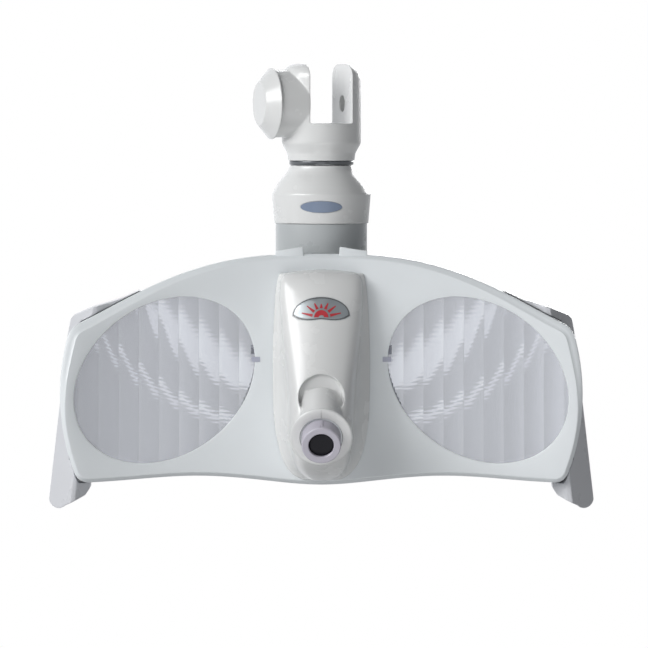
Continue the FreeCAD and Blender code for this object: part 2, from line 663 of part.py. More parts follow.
def rear_covers():
    """The back shells behind the reflectors, one each side of the hub cover."""
    near, far, wall = val("rim_depth") + 0.3, val("rear_depth"), val("back_wall")
    shape = rear_form(near, far, -0.8).cut(rear_form(near - 1, far - wall, -0.8 - wall))
    shape = shape.common(box_between((val("hub_half") + 0.3, -150, -430), (300, 60, -110)))
    shape = shape.cut([bracket_slot(0)] + posts(2.2, 0, 80) + posts(3.95, far - 1.5, 84))
    mirrored("rear_cover_left", solid("rear_cover_right", shape.removeSplitter()))


def bracket_slot(grow):
    """The way through the rear cover, and the socket in the handle, for the right handle bracket."""
    t, tall = val("bracket_t") / 2 + grow, val("bracket_tall") / 2 + grow
    low = (val("bracket_from") - 5, val("y_bracket") - t, val("z_bracket") - tall)
    high = (val("bracket_to") + 0.8, val("y_bracket") + t, val("z_bracket") + tall)
    return box_between(low, high)


def hub_form(inset):
    """The hub cover's outer form, or its hollow: a wedge that thins towards the bottom."""
    back, top, bottom = val("y_hub_back"), val("z_hub_top"), val("z_hub_bottom")
    side = [(-60, top), (back - 20, top), (back, top - 24), (back, top - 104), (back - 30, bottom), (-60, bottom)]
    x = -val("hub_half")
    profile = Part.makePolygon([Vector(x, y, z) for y, z in side + side[:1]])
    form = Part.Face(profile).extrude(Vector(-2 * x, 0, 0))
    edges = [e for e in form.Edges if e.BoundBox.YMax > -59]
    form = form.makeFillet(val("hub_round"), edges)
    if inset:
        form = form.makeOffsetShape(-inset, 0.01, join=0)
    return form


def hub_cover():
    wall = val("back_wall")
    hollow = hub_form(wall).cut(neck_sweep(2.0))
    shape = hub_form(0).cut([hollow, neck_sweep(), dish(val("rim_depth") + 0.3)])
    slots = [box_between((-34, 8, z), (34, 70, z + 4)) for z in range(-356, -268, 12)]
    pin = Part.makeCylinder(10.5, 60.2 * 2, Vector(-60.2, 0, val("z_tilt")), ACROSS)
    shape = shape.cut(slots + [pin])
    return solid("hub_cover", sorted(shape.Solids, key=lambda piece: piece.Volume)[-1])


def head_screws():
    """Four pan-head screws that hold the rear cover to the front panel's posts."""
    made = []
    for x, z in POSTS:
        for side in (1, -1):
            face = dish_y(x, val("rear_depth"))
            head = Part.makeCylinder(3.8, 2.4, Vector(side * x, face - 1.4, z), BACK)
            shank = Part.makeCylinder(1.6, face - dish_y(x) - 32, Vector(side * x, dish_y(x) + 32, z), BACK)
            slot = box_between((side * x - 3, face + 0.1, z - 0.5), (side * x + 3, face + 2, z + 0.5))
            made.append(head.fuse(shank).cut(slot).removeSplitter())
    return solid("rear_screws", Part.makeCompound(made))


# ---------------------------------------------------------------- head structure

def head_frame():
    """The cast frame: a plate behind the nose and two cheeks that reach up to the tilt pin."""
    plate = block("frame_plate", ("-hub_half + 2.5", "y_panel + 3.5", -370), ("hub_half - 2.5", "y_panel + 8.5", -238))
    right = new_body("frame_cheek_right")
    feature(right, "Pad", "YZ_Plane", [[
        ("y_panel + 8.5", -275), ("y_panel + 8.5", -214), (-12, "z_tilt + 14"), (12, "z_tilt + 14"),
        (18, "z_tilt"), (12, "z_tilt - 16"), (-22, -252), (-38, -275)], (0, "z_tilt", "tilt_pin_r")],
        Length="cheek_t")
    place(right, ("cheek_in", 0, 0))
    left = DOC.addObject("Part::Mirroring", "frame_cheek_left")
    left.Source, left.Normal = right, ACROSS
    window = block("frame_window", (-28, "y_panel", -350), (28, "y_panel + 12", -250))
    node("head_frame", cut("head_frame", fuse("frame_body", plate, right, left), window))


def tilt_pin():
    """The tilt shaft with its head, held by a clip on the other cheek."""
    far = "cheek_in + cheek_t"
    turned("tilt_pin", [
        (0, f"-({far}) - 3.2"), ("tilt_pin_r", f"-({far}) - 3.2"), ("tilt_pin_r", f"-({far}) - 2"),
        (5, f"-({far}) - 2"), (5, f"-({far}) - 0.4"), ("tilt_pin_r", f"-({far}) - 0.4"), ("tilt_pin_r", far),
        ("pin_head_r", far), ("pin_head_r", f"{far} + pin_head_t"), (0, f"{far} + pin_head_t")],
        (0, 0, "z_tilt"), aimed((1, 0, 0)))
    body = new_body("tilt_clip")
    feature(body, "Revolution", "XZ_Plane", [[(5.1, 0.5), (9, 0.5), (9, 1.9), (5.1, 1.9)]],
            Angle=300, Midplane=True)
    node("tilt_clip", place(body, (f"-({far})", 0, "z_tilt"), aimed((-1, 0, 0))))


def friction_pack():
    """Disc springs and their nut, which press the yoke's bush and set the tilt's friction."""
    start = "yoke_in + yoke_t + tilt_bush_flange_t"
    rings = []
    for i in range(4):
        lift = f"{start} + 0.15 + {1.3 * i}"
        body = new_body(f"disc_spring_{i}")
        tall = [(6.3, 0.0), (11.5, 0.5), (11.5, 1.2), (6.3, 0.7)]
        feature(body, "Revolution", "XZ_Plane", [tall])
        rings.append(place(body, (lift, 0, "z_tilt"), aimed((1, 0, 0))))
    pack = DOC.addObject("Part::Compound", "friction_springs")
    pack.Links = rings
    node("friction_springs", pack)
    nut = DOC.addObject("Part::Prism", "friction_nut_blank")
    nut.Polygon = 6
    bind(nut, Circumradius="10", Height="4")
    place(nut, (f"{start} + 5.6", 0, "z_tilt"), aimed((1, 0, 0)))
    hole = rod("friction_nut_hole", "tilt_pin_r", "9", (f"{start} + 4", 0, "z_tilt"), (1, 0, 0))
    node("friction_nut", cut("friction_nut", nut, hole))


def heat_sink():
    """A finned block behind the frame plate."""
    fins, thick = 9, 2.2
    pitch = (76 - thick) / (fins - 1)
    base_front, base_back, tips = "y_panel + 8.5", "y_panel + 14", 6
    points = [(-38, base_front), (38, base_front)]
    for i in range(fins):
        right = 38 - i * pitch
        points += [(right, tips), (right - thick, tips)]
        if i < fins - 1:
            points += [(right - thick, base_back), (right - pitch, base_back)]
    body = new_body("heat_sink")
    feature(body, "Pad", "XY_Plane", [points], Length="118")
    node("heat_sink", place(body, (0, 0, -366)))


def light_engines():
    """The LED block and its dome lens at the inner edge of each reflector."""
    base = block("led_block_right", (38.2, "y_panel + 9", -300), (57, -42, -276))
    node("led_block_right", base)
    dome = DOC.addObject("Part::Sphere", "led_dome_ball")
    bind(dome, Radius="9")
    place(dome, (55, -50, -288))
    keep = block("led_dome_keep", (57.1, "y_panel + 8.7", -300), (66, -30, -276))
    right = node("led_lens_right", common("led_lens_right", dome, keep))
    mirrored("led_block_left", base)
    mirrored("led_lens_left", right)


def driver_board():
    milled("driver_board", "XZ_Plane", [(-42, -362), (42, -362), (42, -250), (-42, -250)], "1.6",
           [(x, z, 1.6) for x in (-37, 37) for z in (-357, -255)], (0, 18, 0))
    parts = [block("choke", (-30, 18.8, -300), (-8, 34, -278)), block("chip", (8, 18.8, -296), (24, 22, -280)),
             block("terminal", (-20, 18.8, -270), (20, 29, -260))]
    for i, x in enumerate((-28, -10, 8, 26)):
        parts.append(rod(f"capacitor_{i}", 6, 9, (x, 18.8, -335), (0, 1, 0)))
    made = DOC.addObject("Part::Compound", "driver_components")
    made.Links = parts
    node("driver_components", made)
    posts_made = []
    for i, (x, z) in enumerate([(x, z) for x in (-37, 37) for z in (-357, -255)]):
        post = rod(f"standoff_{i}", 1.6, 14, (x, 6, z), (0, 1, 0))
        collar = rod(f"standoff_collar_{i}", 3, 11, (x, 6.2, z), (0, 1, 0))
        posts_made.append(fuse(f"standoff_piece_{i}", post, collar))
    standoffs = DOC.addObject("Part::Compound", "board_standoffs")
    standoffs.Links = posts_made
    node("board_standoffs", standoffs)


def led_leads():
    """The two insulated leads from the driver board to the LED blocks."""
    for side, name in ((1, "right"), (-1, "left")):
        points = [(48.5, -41.9, -288), (48.5, -10, -288), (48.5, 25, -280), (20.2, 25, -265)]
        wire = round_path([Vector(side * x, y, z) for x, y, z in points], 8)
        solid("led_lead_" + name, tube_along(wire, 1.4))


def round_path(points, radius):
    """Straight runs joined by tangent arcs of one radius."""
    edges, start = [], points[0]
    for before, corner, after in zip(points, points[1:], points[2:]):
        into, out = (corner - before).normalize(), (after - corner).normalize()
        turn = into.getAngle(out)
        back = radius * math.tan(turn / 2)
        first, last = corner - into * back, corner + out * back
        bisector = (out - into).normalize()
        middle = corner + bisector * (radius / math.cos(turn / 2) - radius)
        edges += [Part.LineSegment(start, first).toShape(), Part.Arc(first, middle, last).toShape()]
        start = last
    edges.append(Part.LineSegment(start, points[-1]).toShape())
    return Part.Wire(edges)


def tube_along(wire, radius):
    """A round lead swept along a path."""
    start = wire.Edges[0]
    circle = Part.Wire(Part.makeCircle(radius, start.valueAt(start.FirstParameter),
                                       start.tangentAt(start.FirstParameter)))
    return wire.makePipeShell([circle], True, False)


# ---------------------------------------------------------------- nose and camera

NOSE_STATIONS = [
    # height, half width, reach in front of the skirt, squareness
    (-169.0, 33.0, 2.0, 2.6), (-176.0, 37.5, 9.0, 2.6), (-190.0, 39.0, 16.0, 2.6), (-215.0, 38.5, 24.0, 2.6),
    (-245.0, 36.0, 35.0, 2.5), (-275.0, 34.0, 48.0, 2.4), (-300.0, 33.0, 61.0, 2.3), (-325.0, 33.0, 70.0, 2.2),
    (-345.0, 32.0, 66.0, 2.2), (-358.0, 29.0, 50.0, 2.2), (-367.0, 23.0, 27.0, 2.2), (-373.0, 15.0, 6.0, 2.2)]


def nose_form(inset):
    """The nose's outer form, or its hollow: bulging sections stacked down its height."""
    y0 = val("y_skirt") + (6 if inset else 0)
    sections = []
    for z, half, reach, power in NOSE_STATIONS:
        half, reach = half - inset, max(reach - inset, 1.0) + (6 if inset else 0)
        rim = []
        for i in range(13):
            angle = math.pi * i / 12
            c, s = math.cos(angle), math.sin(angle)
            x = math.copysign(abs(c) ** (2 / power), c) * half
            rim.append(Vector(x, y0 - abs(s) ** (2 / power) * reach, z))
        curve = Part.BSplineCurve()
        curve.interpolate(rim)
        sections.append(Part.Wire([curve.toShape(), Part.LineSegment(rim[-1], rim[0]).toShape()]))
    body = Part.makeLoft(sections, True, False)
    return body


def snout_line():
    """The snout's face centre, the way it points, and straight up across its face."""
    dip = math.radians(val("snout_dip"))
    centre = Vector(0, val("y_snout"), val("z_snout"))
    out = Vector(0, -math.cos(dip), -math.sin(dip))
    return centre, out, Vector(0, -math.sin(dip), math.cos(dip))


def snout_turned(profile):
    """A solid turned about the snout's axis from (distance behind the face, radius) points."""
    centre, out, up = snout_line()
    points = [centre - out * back + up * radius for back, radius in profile]
    return Part.Face(Part.makePolygon(points + points[:1])).revolve(centre, out, 360)


def nose_cover():
    """The glossy central cover with a thumb scoop and the camera snout."""
    skin = nose_form(0)
    scoop = Part.makeSphere(24, Vector(0, -127, -291))
    neck_r, face_r = val("snout_r"), val("snout_face_r")
    snout = snout_turned([(0, 0), (0, face_r - 1.5), (1.2, face_r - 0.3), (3, face_r), (6, face_r - 1.2),
                          (12, face_r - 6), (17, neck_r + 1), (22, neck_r), (72, neck_r), (72, 0)])
    bore = snout_turned([(-5, 0), (-5, val("snout_bore_r")), (36, val("snout_bore_r")), (36, 19), (90, 19), (90, 0)])
    ahead = box_between((-60, -260, -420), (60, val("y_skirt"), -120))
    hollow = nose_form(val("nose_wall")).cut(snout_turned([(0, 0), (0, face_r), (12, face_r - 4),
                                                           (17, neck_r + 3), (75, neck_r + 2.5), (75, 0)]))
    shape = skin.cut(scoop).fuse(snout.common(ahead)).removeSplitter()
    shape = shape.cut(hollow.cut(Part.makeSphere(26.5, Vector(0, -127, -291)))).cut(bore)
    centre, out, up = snout_line()
    groove = box_between((-0.6, -0.7, 22.5), (0.6, 0.7, 30))
    groove.Placement = Placement(centre, Rotation(ACROSS, val("snout_dip")))
    shape = shape.cut(groove)
    keep = sorted(shape.Solids, key=lambda s: s.Volume)[-1]
    return solid("nose_cover", keep.cut(badge_recess()))


def badge_profile(grow=0.0):
    """The half-moon nameplate's outline, as a face in front of the nose."""
    half, tall, low, y = 28.5 + grow, 21.5 + grow, -221 - grow, -170
    foot = 5 + grow
    left, right = Vector(-half, y, low + foot), Vector(half, y, low + foot)
    top = Part.Arc(left, Vector(0, y, low + tall), right)
    base = [Part.Arc(right, Vector(half - 2.5, y, low + 1.2), Vector(half - 6, y, low)),
            Part.LineSegment(Vector(half - 6, y, low), Vector(-half + 6, y, low)),
            Part.Arc(Vector(-half + 6, y, low), Vector(-half + 2.5, y, low + 1.2), left)]
    return Part.Face(Part.Wire([e.toShape() for e in [top, *base]]))


def nose_layer(depth_in, depth_out):
    """The space between two skins parallel to the nose's front, made by sliding its form along Y."""
    outer, inner = nose_form(0), nose_form(0)
    outer.translate(Vector(0, -depth_out, 0))
    inner.translate(Vector(0, depth_in, 0))
    return outer.cut(inner)


def badge_recess():
    return badge_profile(0.15).extrude(Vector(0, 100, 0)).common(nose_layer(1.3, 6))


def nose_badge():
    plate = badge_profile().extrude(Vector(0, 100, 0)).common(nose_layer(1.3, 0.4))
    plate = sorted(plate.Solids, key=lambda s: s.Volume)[-1]
    mark = sun_mark().common(nose_layer(-0.4, 1.1))
    solid("nose_badge", plate)
    solid("badge_mark", Part.makeCompound([s for s in mark.Solids if s.Volume > 0.2]))


def sun_mark():
    """A plain half sun with five rays, drawn front to back."""
    y, low = -170, -216.5
    disc = Part.Face(Part.Wire([
        Part.Arc(Vector(-5, y, low), Vector(0, y, low + 5), Vector(5, y, low)).toShape(),
        Part.LineSegment(Vector(5, y, low), Vector(-5, y, low)).toShape()]))
    shapes = [disc.extrude(Vector(0, 100, 0))]
    for degrees in (14, 52, 90, 128, 166):
        angle = math.radians(degrees)
        along, across = Vector(math.cos(angle), 0, math.sin(angle)), Vector(-math.sin(angle), 0, math.cos(angle))
        start = Vector(0, y, low) + along * 6.6
        length = 4.2 + 4.6 * abs(math.cos(angle))
        corners = [start - across * 1.15, start + along * length - across * 0.5, start + along * length + across * 0.5,
                   start + across * 1.15]
        shapes.append(Part.Face(Part.makePolygon(corners + corners[:1])).extrude(Vector(0, 100, 0)))
    return Part.makeCompound(shapes)


def nose_skirt():
    """The low base that the nose cover stands on, following the panel's curve."""
    half, top, bottom = val("skirt_half"), val("z_skirt_top"), val("z_skirt_bottom")
    right = [(half - 5, top - 5), (half, -222), (half, -300), (half - 7, bottom + 35), (half - 21, bottom + 9)]
    y = -110
    side = Part.BSplineCurve()
    side.interpolate([Vector(x, y, z) for x, z in right])
    other = Part.BSplineCurve()
    other.interpolate([Vector(-x, y, z) for x, z in reversed(right)])
    first, last = right[0], right[-1]
    crown = Part.Arc(Vector(-first[0], y, first[1]), Vector(0, y, top), Vector(first[0], y, first[1]))
    chin = Part.Arc(Vector(last[0], y, last[1]), Vector(0, y, bottom), Vector(-last[0], y, last[1]))
    wire = Part.Wire([c.toShape() for c in (crown, side, chin, other)])
    base = Part.Face(wire).extrude(Vector(0, 60, 0))
    base = base.common(box_between((-60, val("y_skirt"), -420), (60, -40, -120)))
    front = [e for e in base.Edges if e.BoundBox.YMax < val("y_skirt") + 0.1]
    base = base.makeFillet(6, front).common(dish(-0.2))
    return solid("nose_skirt", base.cut(box_between((-25, -90, -350), (25, -40, -190))))


def camera_parts():
    ring_t, out_by = val("camera_ring_t"), val("barrel_out")
    barrel_r, bore_r, lens_r = val("barrel_r"), val("snout_bore_r"), val("lens_r")
    solid("camera_bush", snout_turned([(1, barrel_r + 0.06), (1, bore_r - 0.02), (34, bore_r - 0.02),
                                       (34, barrel_r + 0.06)]))
    barrel = snout_turned([(-out_by, lens_r), (-out_by, barrel_r), (35, barrel_r), (35, 14), (31, 14), (31, 15.5),
                           (-2, 15.5), (-6, lens_r + 0.2), (-out_by + 6, lens_r - 2.5)])
    centre, out, up = snout_line()
    rib = box_between((-1.4, barrel_r - 1, 0), (1.4, barrel_r + 0.9, out_by - 2))
    rib.Placement = Placement(centre + out * 1.5, Rotation(ACROSS, 90 + val("snout_dip")))
    solid("camera_barrel", barrel.fuse(rib).removeSplitter())
    ring_r = val("camera_ring_r")
    ring = snout_turned([(-out_by - ring_t, lens_r + 0.8), (-out_by - ring_t, ring_r - 1), (-out_by - ring_t + 1, ring_r),
                         (-out_by, ring_r), (-out_by, lens_r), (-out_by - ring_t + 1, lens_r)])
    notches = []
    for degrees in (0, 120, 240):
        notch = box_between((-2.2, -1.5, -1), (2.2, 1.5, ring_t - 1))
        notch.translate(Vector(0, lens_r + 0.6, 0))
        notch.rotate(Vector(), UP, degrees)
        notch.Placement = Placement(centre + out * out_by, Rotation(UP, out)).multiply(notch.Placement)
        notches.append(notch)
    solid("camera_ring", ring.cut(notches))
    solid("camera_lens", snout_turned([(-1.9, 0), (-3.2, 6), (-1.9, 12), (-0.4, 15.4), (3, 15.4), (3, 0)]))
    solid("camera_body", snout_turned([(38, 0), (38, 17), (66, 17), (70, 14), (70, 0)]))


# ---------------------------------------------------------------- handles

def handle_silhouette():
    """The right handle seen from the front: a wing that runs down into a round-ended grip."""
    end = val("z_handle_end")
    y = -150
    v = [Vector(x, y, z) for x, z in (
        (182, -186.5), (201.5, -195), (229.6, -203.5), (248, -211.5), (251.5, -215.5), (260.4, -263), (267.5, -322),
        (273, -384), (273.3, -392))]
    edges = [Part.LineSegment(a, b).toShape() for a, b in zip(v, v[1:])]
    tip = Part.Arc(v[-1], Vector(263, y, end), Vector(256.5, y, end + 3.2)).toShape()
    rest = [Vector(256.5, y, end + 3.2), Vector(236.4, y, end + 13.3), Vector(232, y, end + 20), Vector(221, y, -262),
            Vector(205, y, -236), Vector(182, y, -218), v[0]]
    edges += [tip] + [Part.LineSegment(a, b).toShape() for a, b in zip(rest, rest[1:])]
    return Part.Face(Part.Wire(edges)).extrude(Vector(0, 140, 0))


GRIP_SECTION = [(252, -96), (274.5, -60), (275, -46), (268, -32), (212, -32), (212, -62), (236, -76), (247, -95)]
WING_SECTION = [(252, -96), (274.5, -60), (275, -46), (268, -32), (150, -32), (150, -70), (236, -88), (247, -95)]


def handle_blade(section):
    """A section drawn up the whole height, leaning inwards towards the top."""
    low, high, foot = val("z_handle_end") - 5, -180.0, val("z_handle_end")
    wires = []
    for z in (low, high):
        shift = -val("handle_lean") * (z - foot) / 191.0
        points = [Vector(x + shift, y, z) for x, y in section]
        wires.append(Part.makePolygon(points + points[:1]))
    return Part.makeLoft(wires, True, True)


def handles():
    near, far = val("rim_depth"), val("rear_depth")
    shell = outline_prism(0.6).common(layer(-30, near + 0.6))
    back = rear_form(near - 2, far + 0.6, 0.4)
    grip = handle_silhouette().common(handle_blade(GRIP_SECTION))
    upper = box_between((150, -150, -262), (300, 0, -180))
    wing = handle_silhouette().common(handle_blade(WING_SECTION)).common(upper)
    shape = grip.fuse(wing).cut([shell, back])
    shape = sorted(shape.Solids, key=lambda piece: piece.Volume)[-1]
    pocket = Part.makeCylinder(val("button_r") + 0.1, 14,
                               Vector(val("button_x"), val("y_handle_back") - 12, val("z_button")), BACK)
    shape = shape.cut([bracket_slot(0.3), pocket])
    shape = sorted(shape.Solids, key=lambda piece: piece.Volume)[-1]
    mirrored("handle_left", solid("handle_right", shape))


def handle_hardware():
    side = "bracket_tall / 2"
    right = new_body("handle_bracket_right")
    feature(right, "Pad", "XZ_Plane", [[
        ("bracket_from", f"z_bracket - {side}"), ("bracket_to - 4", f"z_bracket - {side}"),
        ("bracket_to", f"z_bracket - {side} + 4"), ("bracket_to", f"z_bracket + {side} - 4"),
        ("bracket_to - 4", f"z_bracket + {side}"), ("bracket_from", f"z_bracket + {side}")]],
        Length="bracket_t", Midplane=True)
    node("handle_bracket_right", place(right, (0, "y_bracket", 0)))
    mirrored("handle_bracket_left", right)
    button = turned("handle_button_right", [
        (0, 0), ("button_r", 0), ("button_r", 9), ("button_r - 1", 10), (0, 10)],
        ("button_x", "y_handle_back - 8", "z_button"), aimed((0, 1, 0)))
    mirrored("handle_button_left", button)


def button_springs():
    """The coil under each release button."""
    back, turns, pitch, wire_r, coil_r = val("y_handle_back") - 12, 3, 0.95, 0.5, 4.0
    helix = Part.makeHelix(pitch, pitch * turns, coil_r)
    helix.Placement = Placement(Vector(val("button_x"), back + 0.55, val("z_button")), aimed((0, 1, 0)))
    edge = helix.Edges[0]
    circle = Part.Wire(Part.makeCircle(wire_r, edge.valueAt(edge.FirstParameter), edge.tangentAt(edge.FirstParameter)))
    coil = Part.Wire(helix.Edges).makePipeShell([circle], True, True)
    right = solid("button_spring_right", coil)
    mirrored("button_spring_left", right)


# ---------------------------------------------------------------- build and export

def export():
    DOC.recompute()
    failed = [o.Label for o in DOC.Objects if {"Invalid", "Error"} & set(o.State)]
    if failed:
        raise RuntimeError(f"objects that failed: {failed}")
    os.makedirs("parts", exist_ok=True)
    for old in os.listdir("parts"):
        if old.endswith(".step"):
            os.remove(os.path.join("parts", old))
    for label, obj in NODES.items():
        shape = obj.Shape
        if shape.isNull() or not shape.isValid() or not shape.Solids:
            raise RuntimeError(f"{label} has no valid solid")
        shape.exportStep(f"parts/{label}.step")
        print(f"{label}: {len(shape.Solids)} solid, {shape.Volume / 1000:.1f} cm3")


def main():
    fill_sheet()
    knuckle_housing()
    knuckle_cap()
    spindle_bush()
    swivel_ring()
    yaw_stop()
    yaw_spindle()
    spindle_clip()
    neck_bell()
    neck_sleeve()
    tilt_yoke()
    neck_screws()
    tilt_bushes()
    supply_lead()
    front_panel()
    windows()
    reflectors()
    rear_covers()
    hub_cover()
    head_screws()
    head_frame()
    tilt_pin()
    friction_pack()
    heat_sink()
    light_engines()
    driver_board()
    led_leads()
    nose_skirt()
    nose_cover()
    nose_badge()
    camera_parts()
    handles()
    handle_hardware()
    button_springs()
    export()


main()
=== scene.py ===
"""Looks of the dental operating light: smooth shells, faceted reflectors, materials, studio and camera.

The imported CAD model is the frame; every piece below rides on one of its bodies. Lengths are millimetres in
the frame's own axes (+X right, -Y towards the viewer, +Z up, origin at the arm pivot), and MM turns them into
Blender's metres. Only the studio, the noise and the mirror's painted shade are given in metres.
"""

import contextlib
import json
import math

import bmesh
import bpy
import numpy as np
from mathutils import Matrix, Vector
from mathutils.bvhtree import BVHTree
from mathutils.geometry import delaunay_2d_cdt

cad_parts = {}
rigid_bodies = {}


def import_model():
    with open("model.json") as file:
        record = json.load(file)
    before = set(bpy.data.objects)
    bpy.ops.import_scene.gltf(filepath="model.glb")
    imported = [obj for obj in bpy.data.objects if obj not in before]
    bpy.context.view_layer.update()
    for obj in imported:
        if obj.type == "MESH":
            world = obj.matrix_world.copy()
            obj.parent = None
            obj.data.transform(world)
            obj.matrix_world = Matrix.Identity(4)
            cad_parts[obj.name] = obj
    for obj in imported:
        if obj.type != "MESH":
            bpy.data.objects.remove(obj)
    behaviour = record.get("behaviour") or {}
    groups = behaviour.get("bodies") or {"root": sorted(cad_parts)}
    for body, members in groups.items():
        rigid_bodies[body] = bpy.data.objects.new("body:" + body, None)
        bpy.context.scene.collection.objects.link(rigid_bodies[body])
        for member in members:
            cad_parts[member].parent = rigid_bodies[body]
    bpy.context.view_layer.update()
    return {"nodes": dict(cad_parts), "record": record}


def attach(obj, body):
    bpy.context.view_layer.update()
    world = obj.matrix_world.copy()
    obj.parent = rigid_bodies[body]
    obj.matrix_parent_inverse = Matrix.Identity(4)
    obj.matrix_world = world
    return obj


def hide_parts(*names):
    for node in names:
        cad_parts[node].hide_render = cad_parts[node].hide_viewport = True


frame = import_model()
MM = 0.001

# ---------------------------------------------------------------- sizes shared with the CAD, in millimetres

DISH_R, PANEL_Y = 700.0, -66.0
PANEL_HALF, PANEL_TOP, PANEL_BOTTOM, CORNER_R = 260.5, -150.3, -382.2, 13.0
RIM_DEPTH, PANEL_SKIN = 26.0, 2.4
NOTCH_HALF, NOTCH_FOOT, NOTCH_RIM = 49.6, -200, 5.4  # the shallower rim behind the nose's top
WINDOW_X, WINDOW_Z, WINDOW_A, WINDOW_B, WINDOW_TURN = 156.6, -276.0, 96.5, 75.5, math.radians(35.5)
LIP = 1.0  # how far a window's rounded edge reaches past its opening
NOSE_HOLE = (28, -352, -190)  # half width, bottom and top of the opening under the nose


# ---------------------------------------------------------------- mesh helpers

def new_object(name, data):
    """An object with its data, linked into the scene."""
    obj = bpy.data.objects.new(name, data)
    bpy.context.scene.collection.objects.link(obj)
    return obj


def new_mesh(name, verts, faces):
    """A mesh from millimetre vertices."""
    mesh = bpy.data.meshes.new(name)
    mesh.from_pydata([tuple(c * MM for c in v) for v in verts], [], [tuple(f) for f in faces])
    mesh.update()
    return mesh


@contextlib.contextmanager
def edited(obj):
    """An object's mesh, opened for editing and written back at the end."""
    bm = bmesh.new()
    bm.from_mesh(obj.data)
    yield bm
    bm.to_mesh(obj.data)
    bm.free()


def ring_faces(rings, count, first=0):
    """Faces that join each closed ring of vertices to the next one."""
    return [(first + r * count + i, first + r * count + (i + 1) % count,
             first + (r + 1) * count + (i + 1) % count, first + (r + 1) * count + i)
            for r in range(rings - 1) for i in range(count)]


def piece(name, verts, faces, body, material, stands_for=(), smooth=True):
    """A mesh piece from millimetre vertices that rides on a body and takes a material."""
    mesh = new_mesh(name, verts, faces)
    mesh.validate()
    mesh.update()
    obj = new_object(name, mesh)
    dress(obj, body, material, stands_for, smooth)
    return obj


def dress(obj, body, material, stands_for=(), smooth=True):
    """Gives a finished object its material, shading and body, and hides the CAD parts it stands for."""
    obj.data.materials.clear()
    obj.data.materials.append(material)
    obj.data.polygons.foreach_set("use_smooth", [smooth] * len(obj.data.polygons))
    if stands_for:
        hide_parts(*stands_for)
    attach(obj, body)


def settle(obj):
    """Replaces an object's mesh by the result of its modifiers."""
    depsgraph = bpy.context.evaluated_depsgraph_get()
    mesh = bpy.data.meshes.new_from_object(obj.evaluated_get(depsgraph))
    obj.modifiers.clear()
    obj.data = mesh
    return obj


def add_modifier(obj, kind, **settings):
    """Adds a modifier to an object, with its settings by name."""
    made = obj.modifiers.new(kind.title(), kind)
    for key, value in settings.items():
        setattr(made, key, value)
    return made


def sharpen(obj, degrees):
    """Smooth shading with crisp edges where faces meet at more than an angle."""
    limit = math.radians(degrees)
    with edited(obj) as bm:
        for edge in bm.edges:
            if len(edge.link_faces) == 2:
                edge.smooth = edge.calc_face_angle(0.0) < limit


def tidy(obj):
    """Merges doubled points, drops faces with no area and turns all faces outwards."""
    with edited(obj) as bm:
        bmesh.ops.remove_doubles(bm, verts=bm.verts, dist=1e-6)
        bmesh.ops.dissolve_degenerate(bm, edges=bm.edges, dist=1e-7)
        bmesh.ops.recalc_face_normals(bm, faces=bm.faces)


def softened(node, name, body, material, voxel, passes, keep=1.0):
    """A CAD shell's copy, remeshed finely and relaxed so that its edges are moulded, not sharp."""
    obj = new_object(name, frame["nodes"][node].data.copy())
    tidy(obj)
    add_modifier(obj, "REMESH", mode="VOXEL", voxel_size=voxel * MM, use_smooth_shade=True)
    add_modifier(obj, "SMOOTH", factor=0.5, iterations=passes)
    if keep < 1:
        add_modifier(obj, "DECIMATE", ratio=keep)
    settle(obj)
    dress(obj, body, material, (node,))
    return obj


# ---------------------------------------------------------------- materials

def principled(name, color, roughness, metallic=0.0, **sockets):
    """A node material with a Principled shader; sockets are set by name."""
    mat = bpy.data.materials.new(name)
    mat.use_nodes = True
    shader = mat.node_tree.nodes["Principled BSDF"]
    shader.inputs["Base Color"].default_value = (*color, 1)
    shader.inputs["Roughness"].default_value = roughness
    shader.inputs["Metallic"].default_value = metallic
    for key, value in sockets.items():
        shader.inputs[key.replace("_", " ")].default_value = value
    return mat


def node(mat, kind, **inputs):
    """A shader node with its inputs set by name."""
    made = mat.node_tree.nodes.new(kind)
    for key, value in inputs.items():
        made.inputs[key].default_value = value
    return made


def link(mat, start, end):
    """Joins an output to an input of a material's nodes."""
    mat.node_tree.links.new(start, end)


def shader_input(mat, name):
    """A socket of a material's Principled shader."""
    return mat.node_tree.nodes["Principled BSDF"].inputs[name]


def calc(tree, kind, a, b=None):
    """The result of a math node on outputs or numbers."""
    made = tree.nodes.new("ShaderNodeMath")
    made.operation = kind
    for slot, value in enumerate((a, b)):
        if isinstance(value, (int, float)):
            made.inputs[slot].default_value = value
        elif value is not None:
            tree.links.new(value, made.inputs[slot])
    return made.outputs[0]


def multiplied(mat, a, b):
    """One colour output times another."""
    mixed = node(mat, "ShaderNodeMix")
    mixed.data_type, mixed.blend_type = "RGBA", "MULTIPLY"
    mixed.inputs["Factor"].default_value = 1.0
    link(mat, a, mixed.inputs["A"])
    link(mat, b, mixed.inputs["B"])
    return mixed.outputs["Result"]


def object_noise(mat, scale, detail=3.0, stretch=(1, 1, 1)):
    """Noise that is fixed to the object, its scale in cycles per metre."""
    where = node(mat, "ShaderNodeTexCoord")
    spread = node(mat, "ShaderNodeMapping")
    spread.inputs["Scale"].default_value = stretch
    link(mat, where.outputs["Object"], spread.inputs["Vector"])
    noise = node(mat, "ShaderNodeTexNoise", Scale=scale, Detail=detail, Roughness=0.55)
    link(mat, spread.outputs["Vector"], noise.inputs["Vector"])
    return noise


def ramp(mat, source, stops):
    """A colour ramp from (position, colour) stops."""
    made = node(mat, "ShaderNodeValToRGB")
    elements = made.color_ramp.elements
    while len(elements) < len(stops):
        elements.new(0.5)
    for element, (position, color) in zip(elements, stops):
        element.position = position
        element.color = (*color, 1)
    link(mat, source, made.inputs["Fac"])
    return made


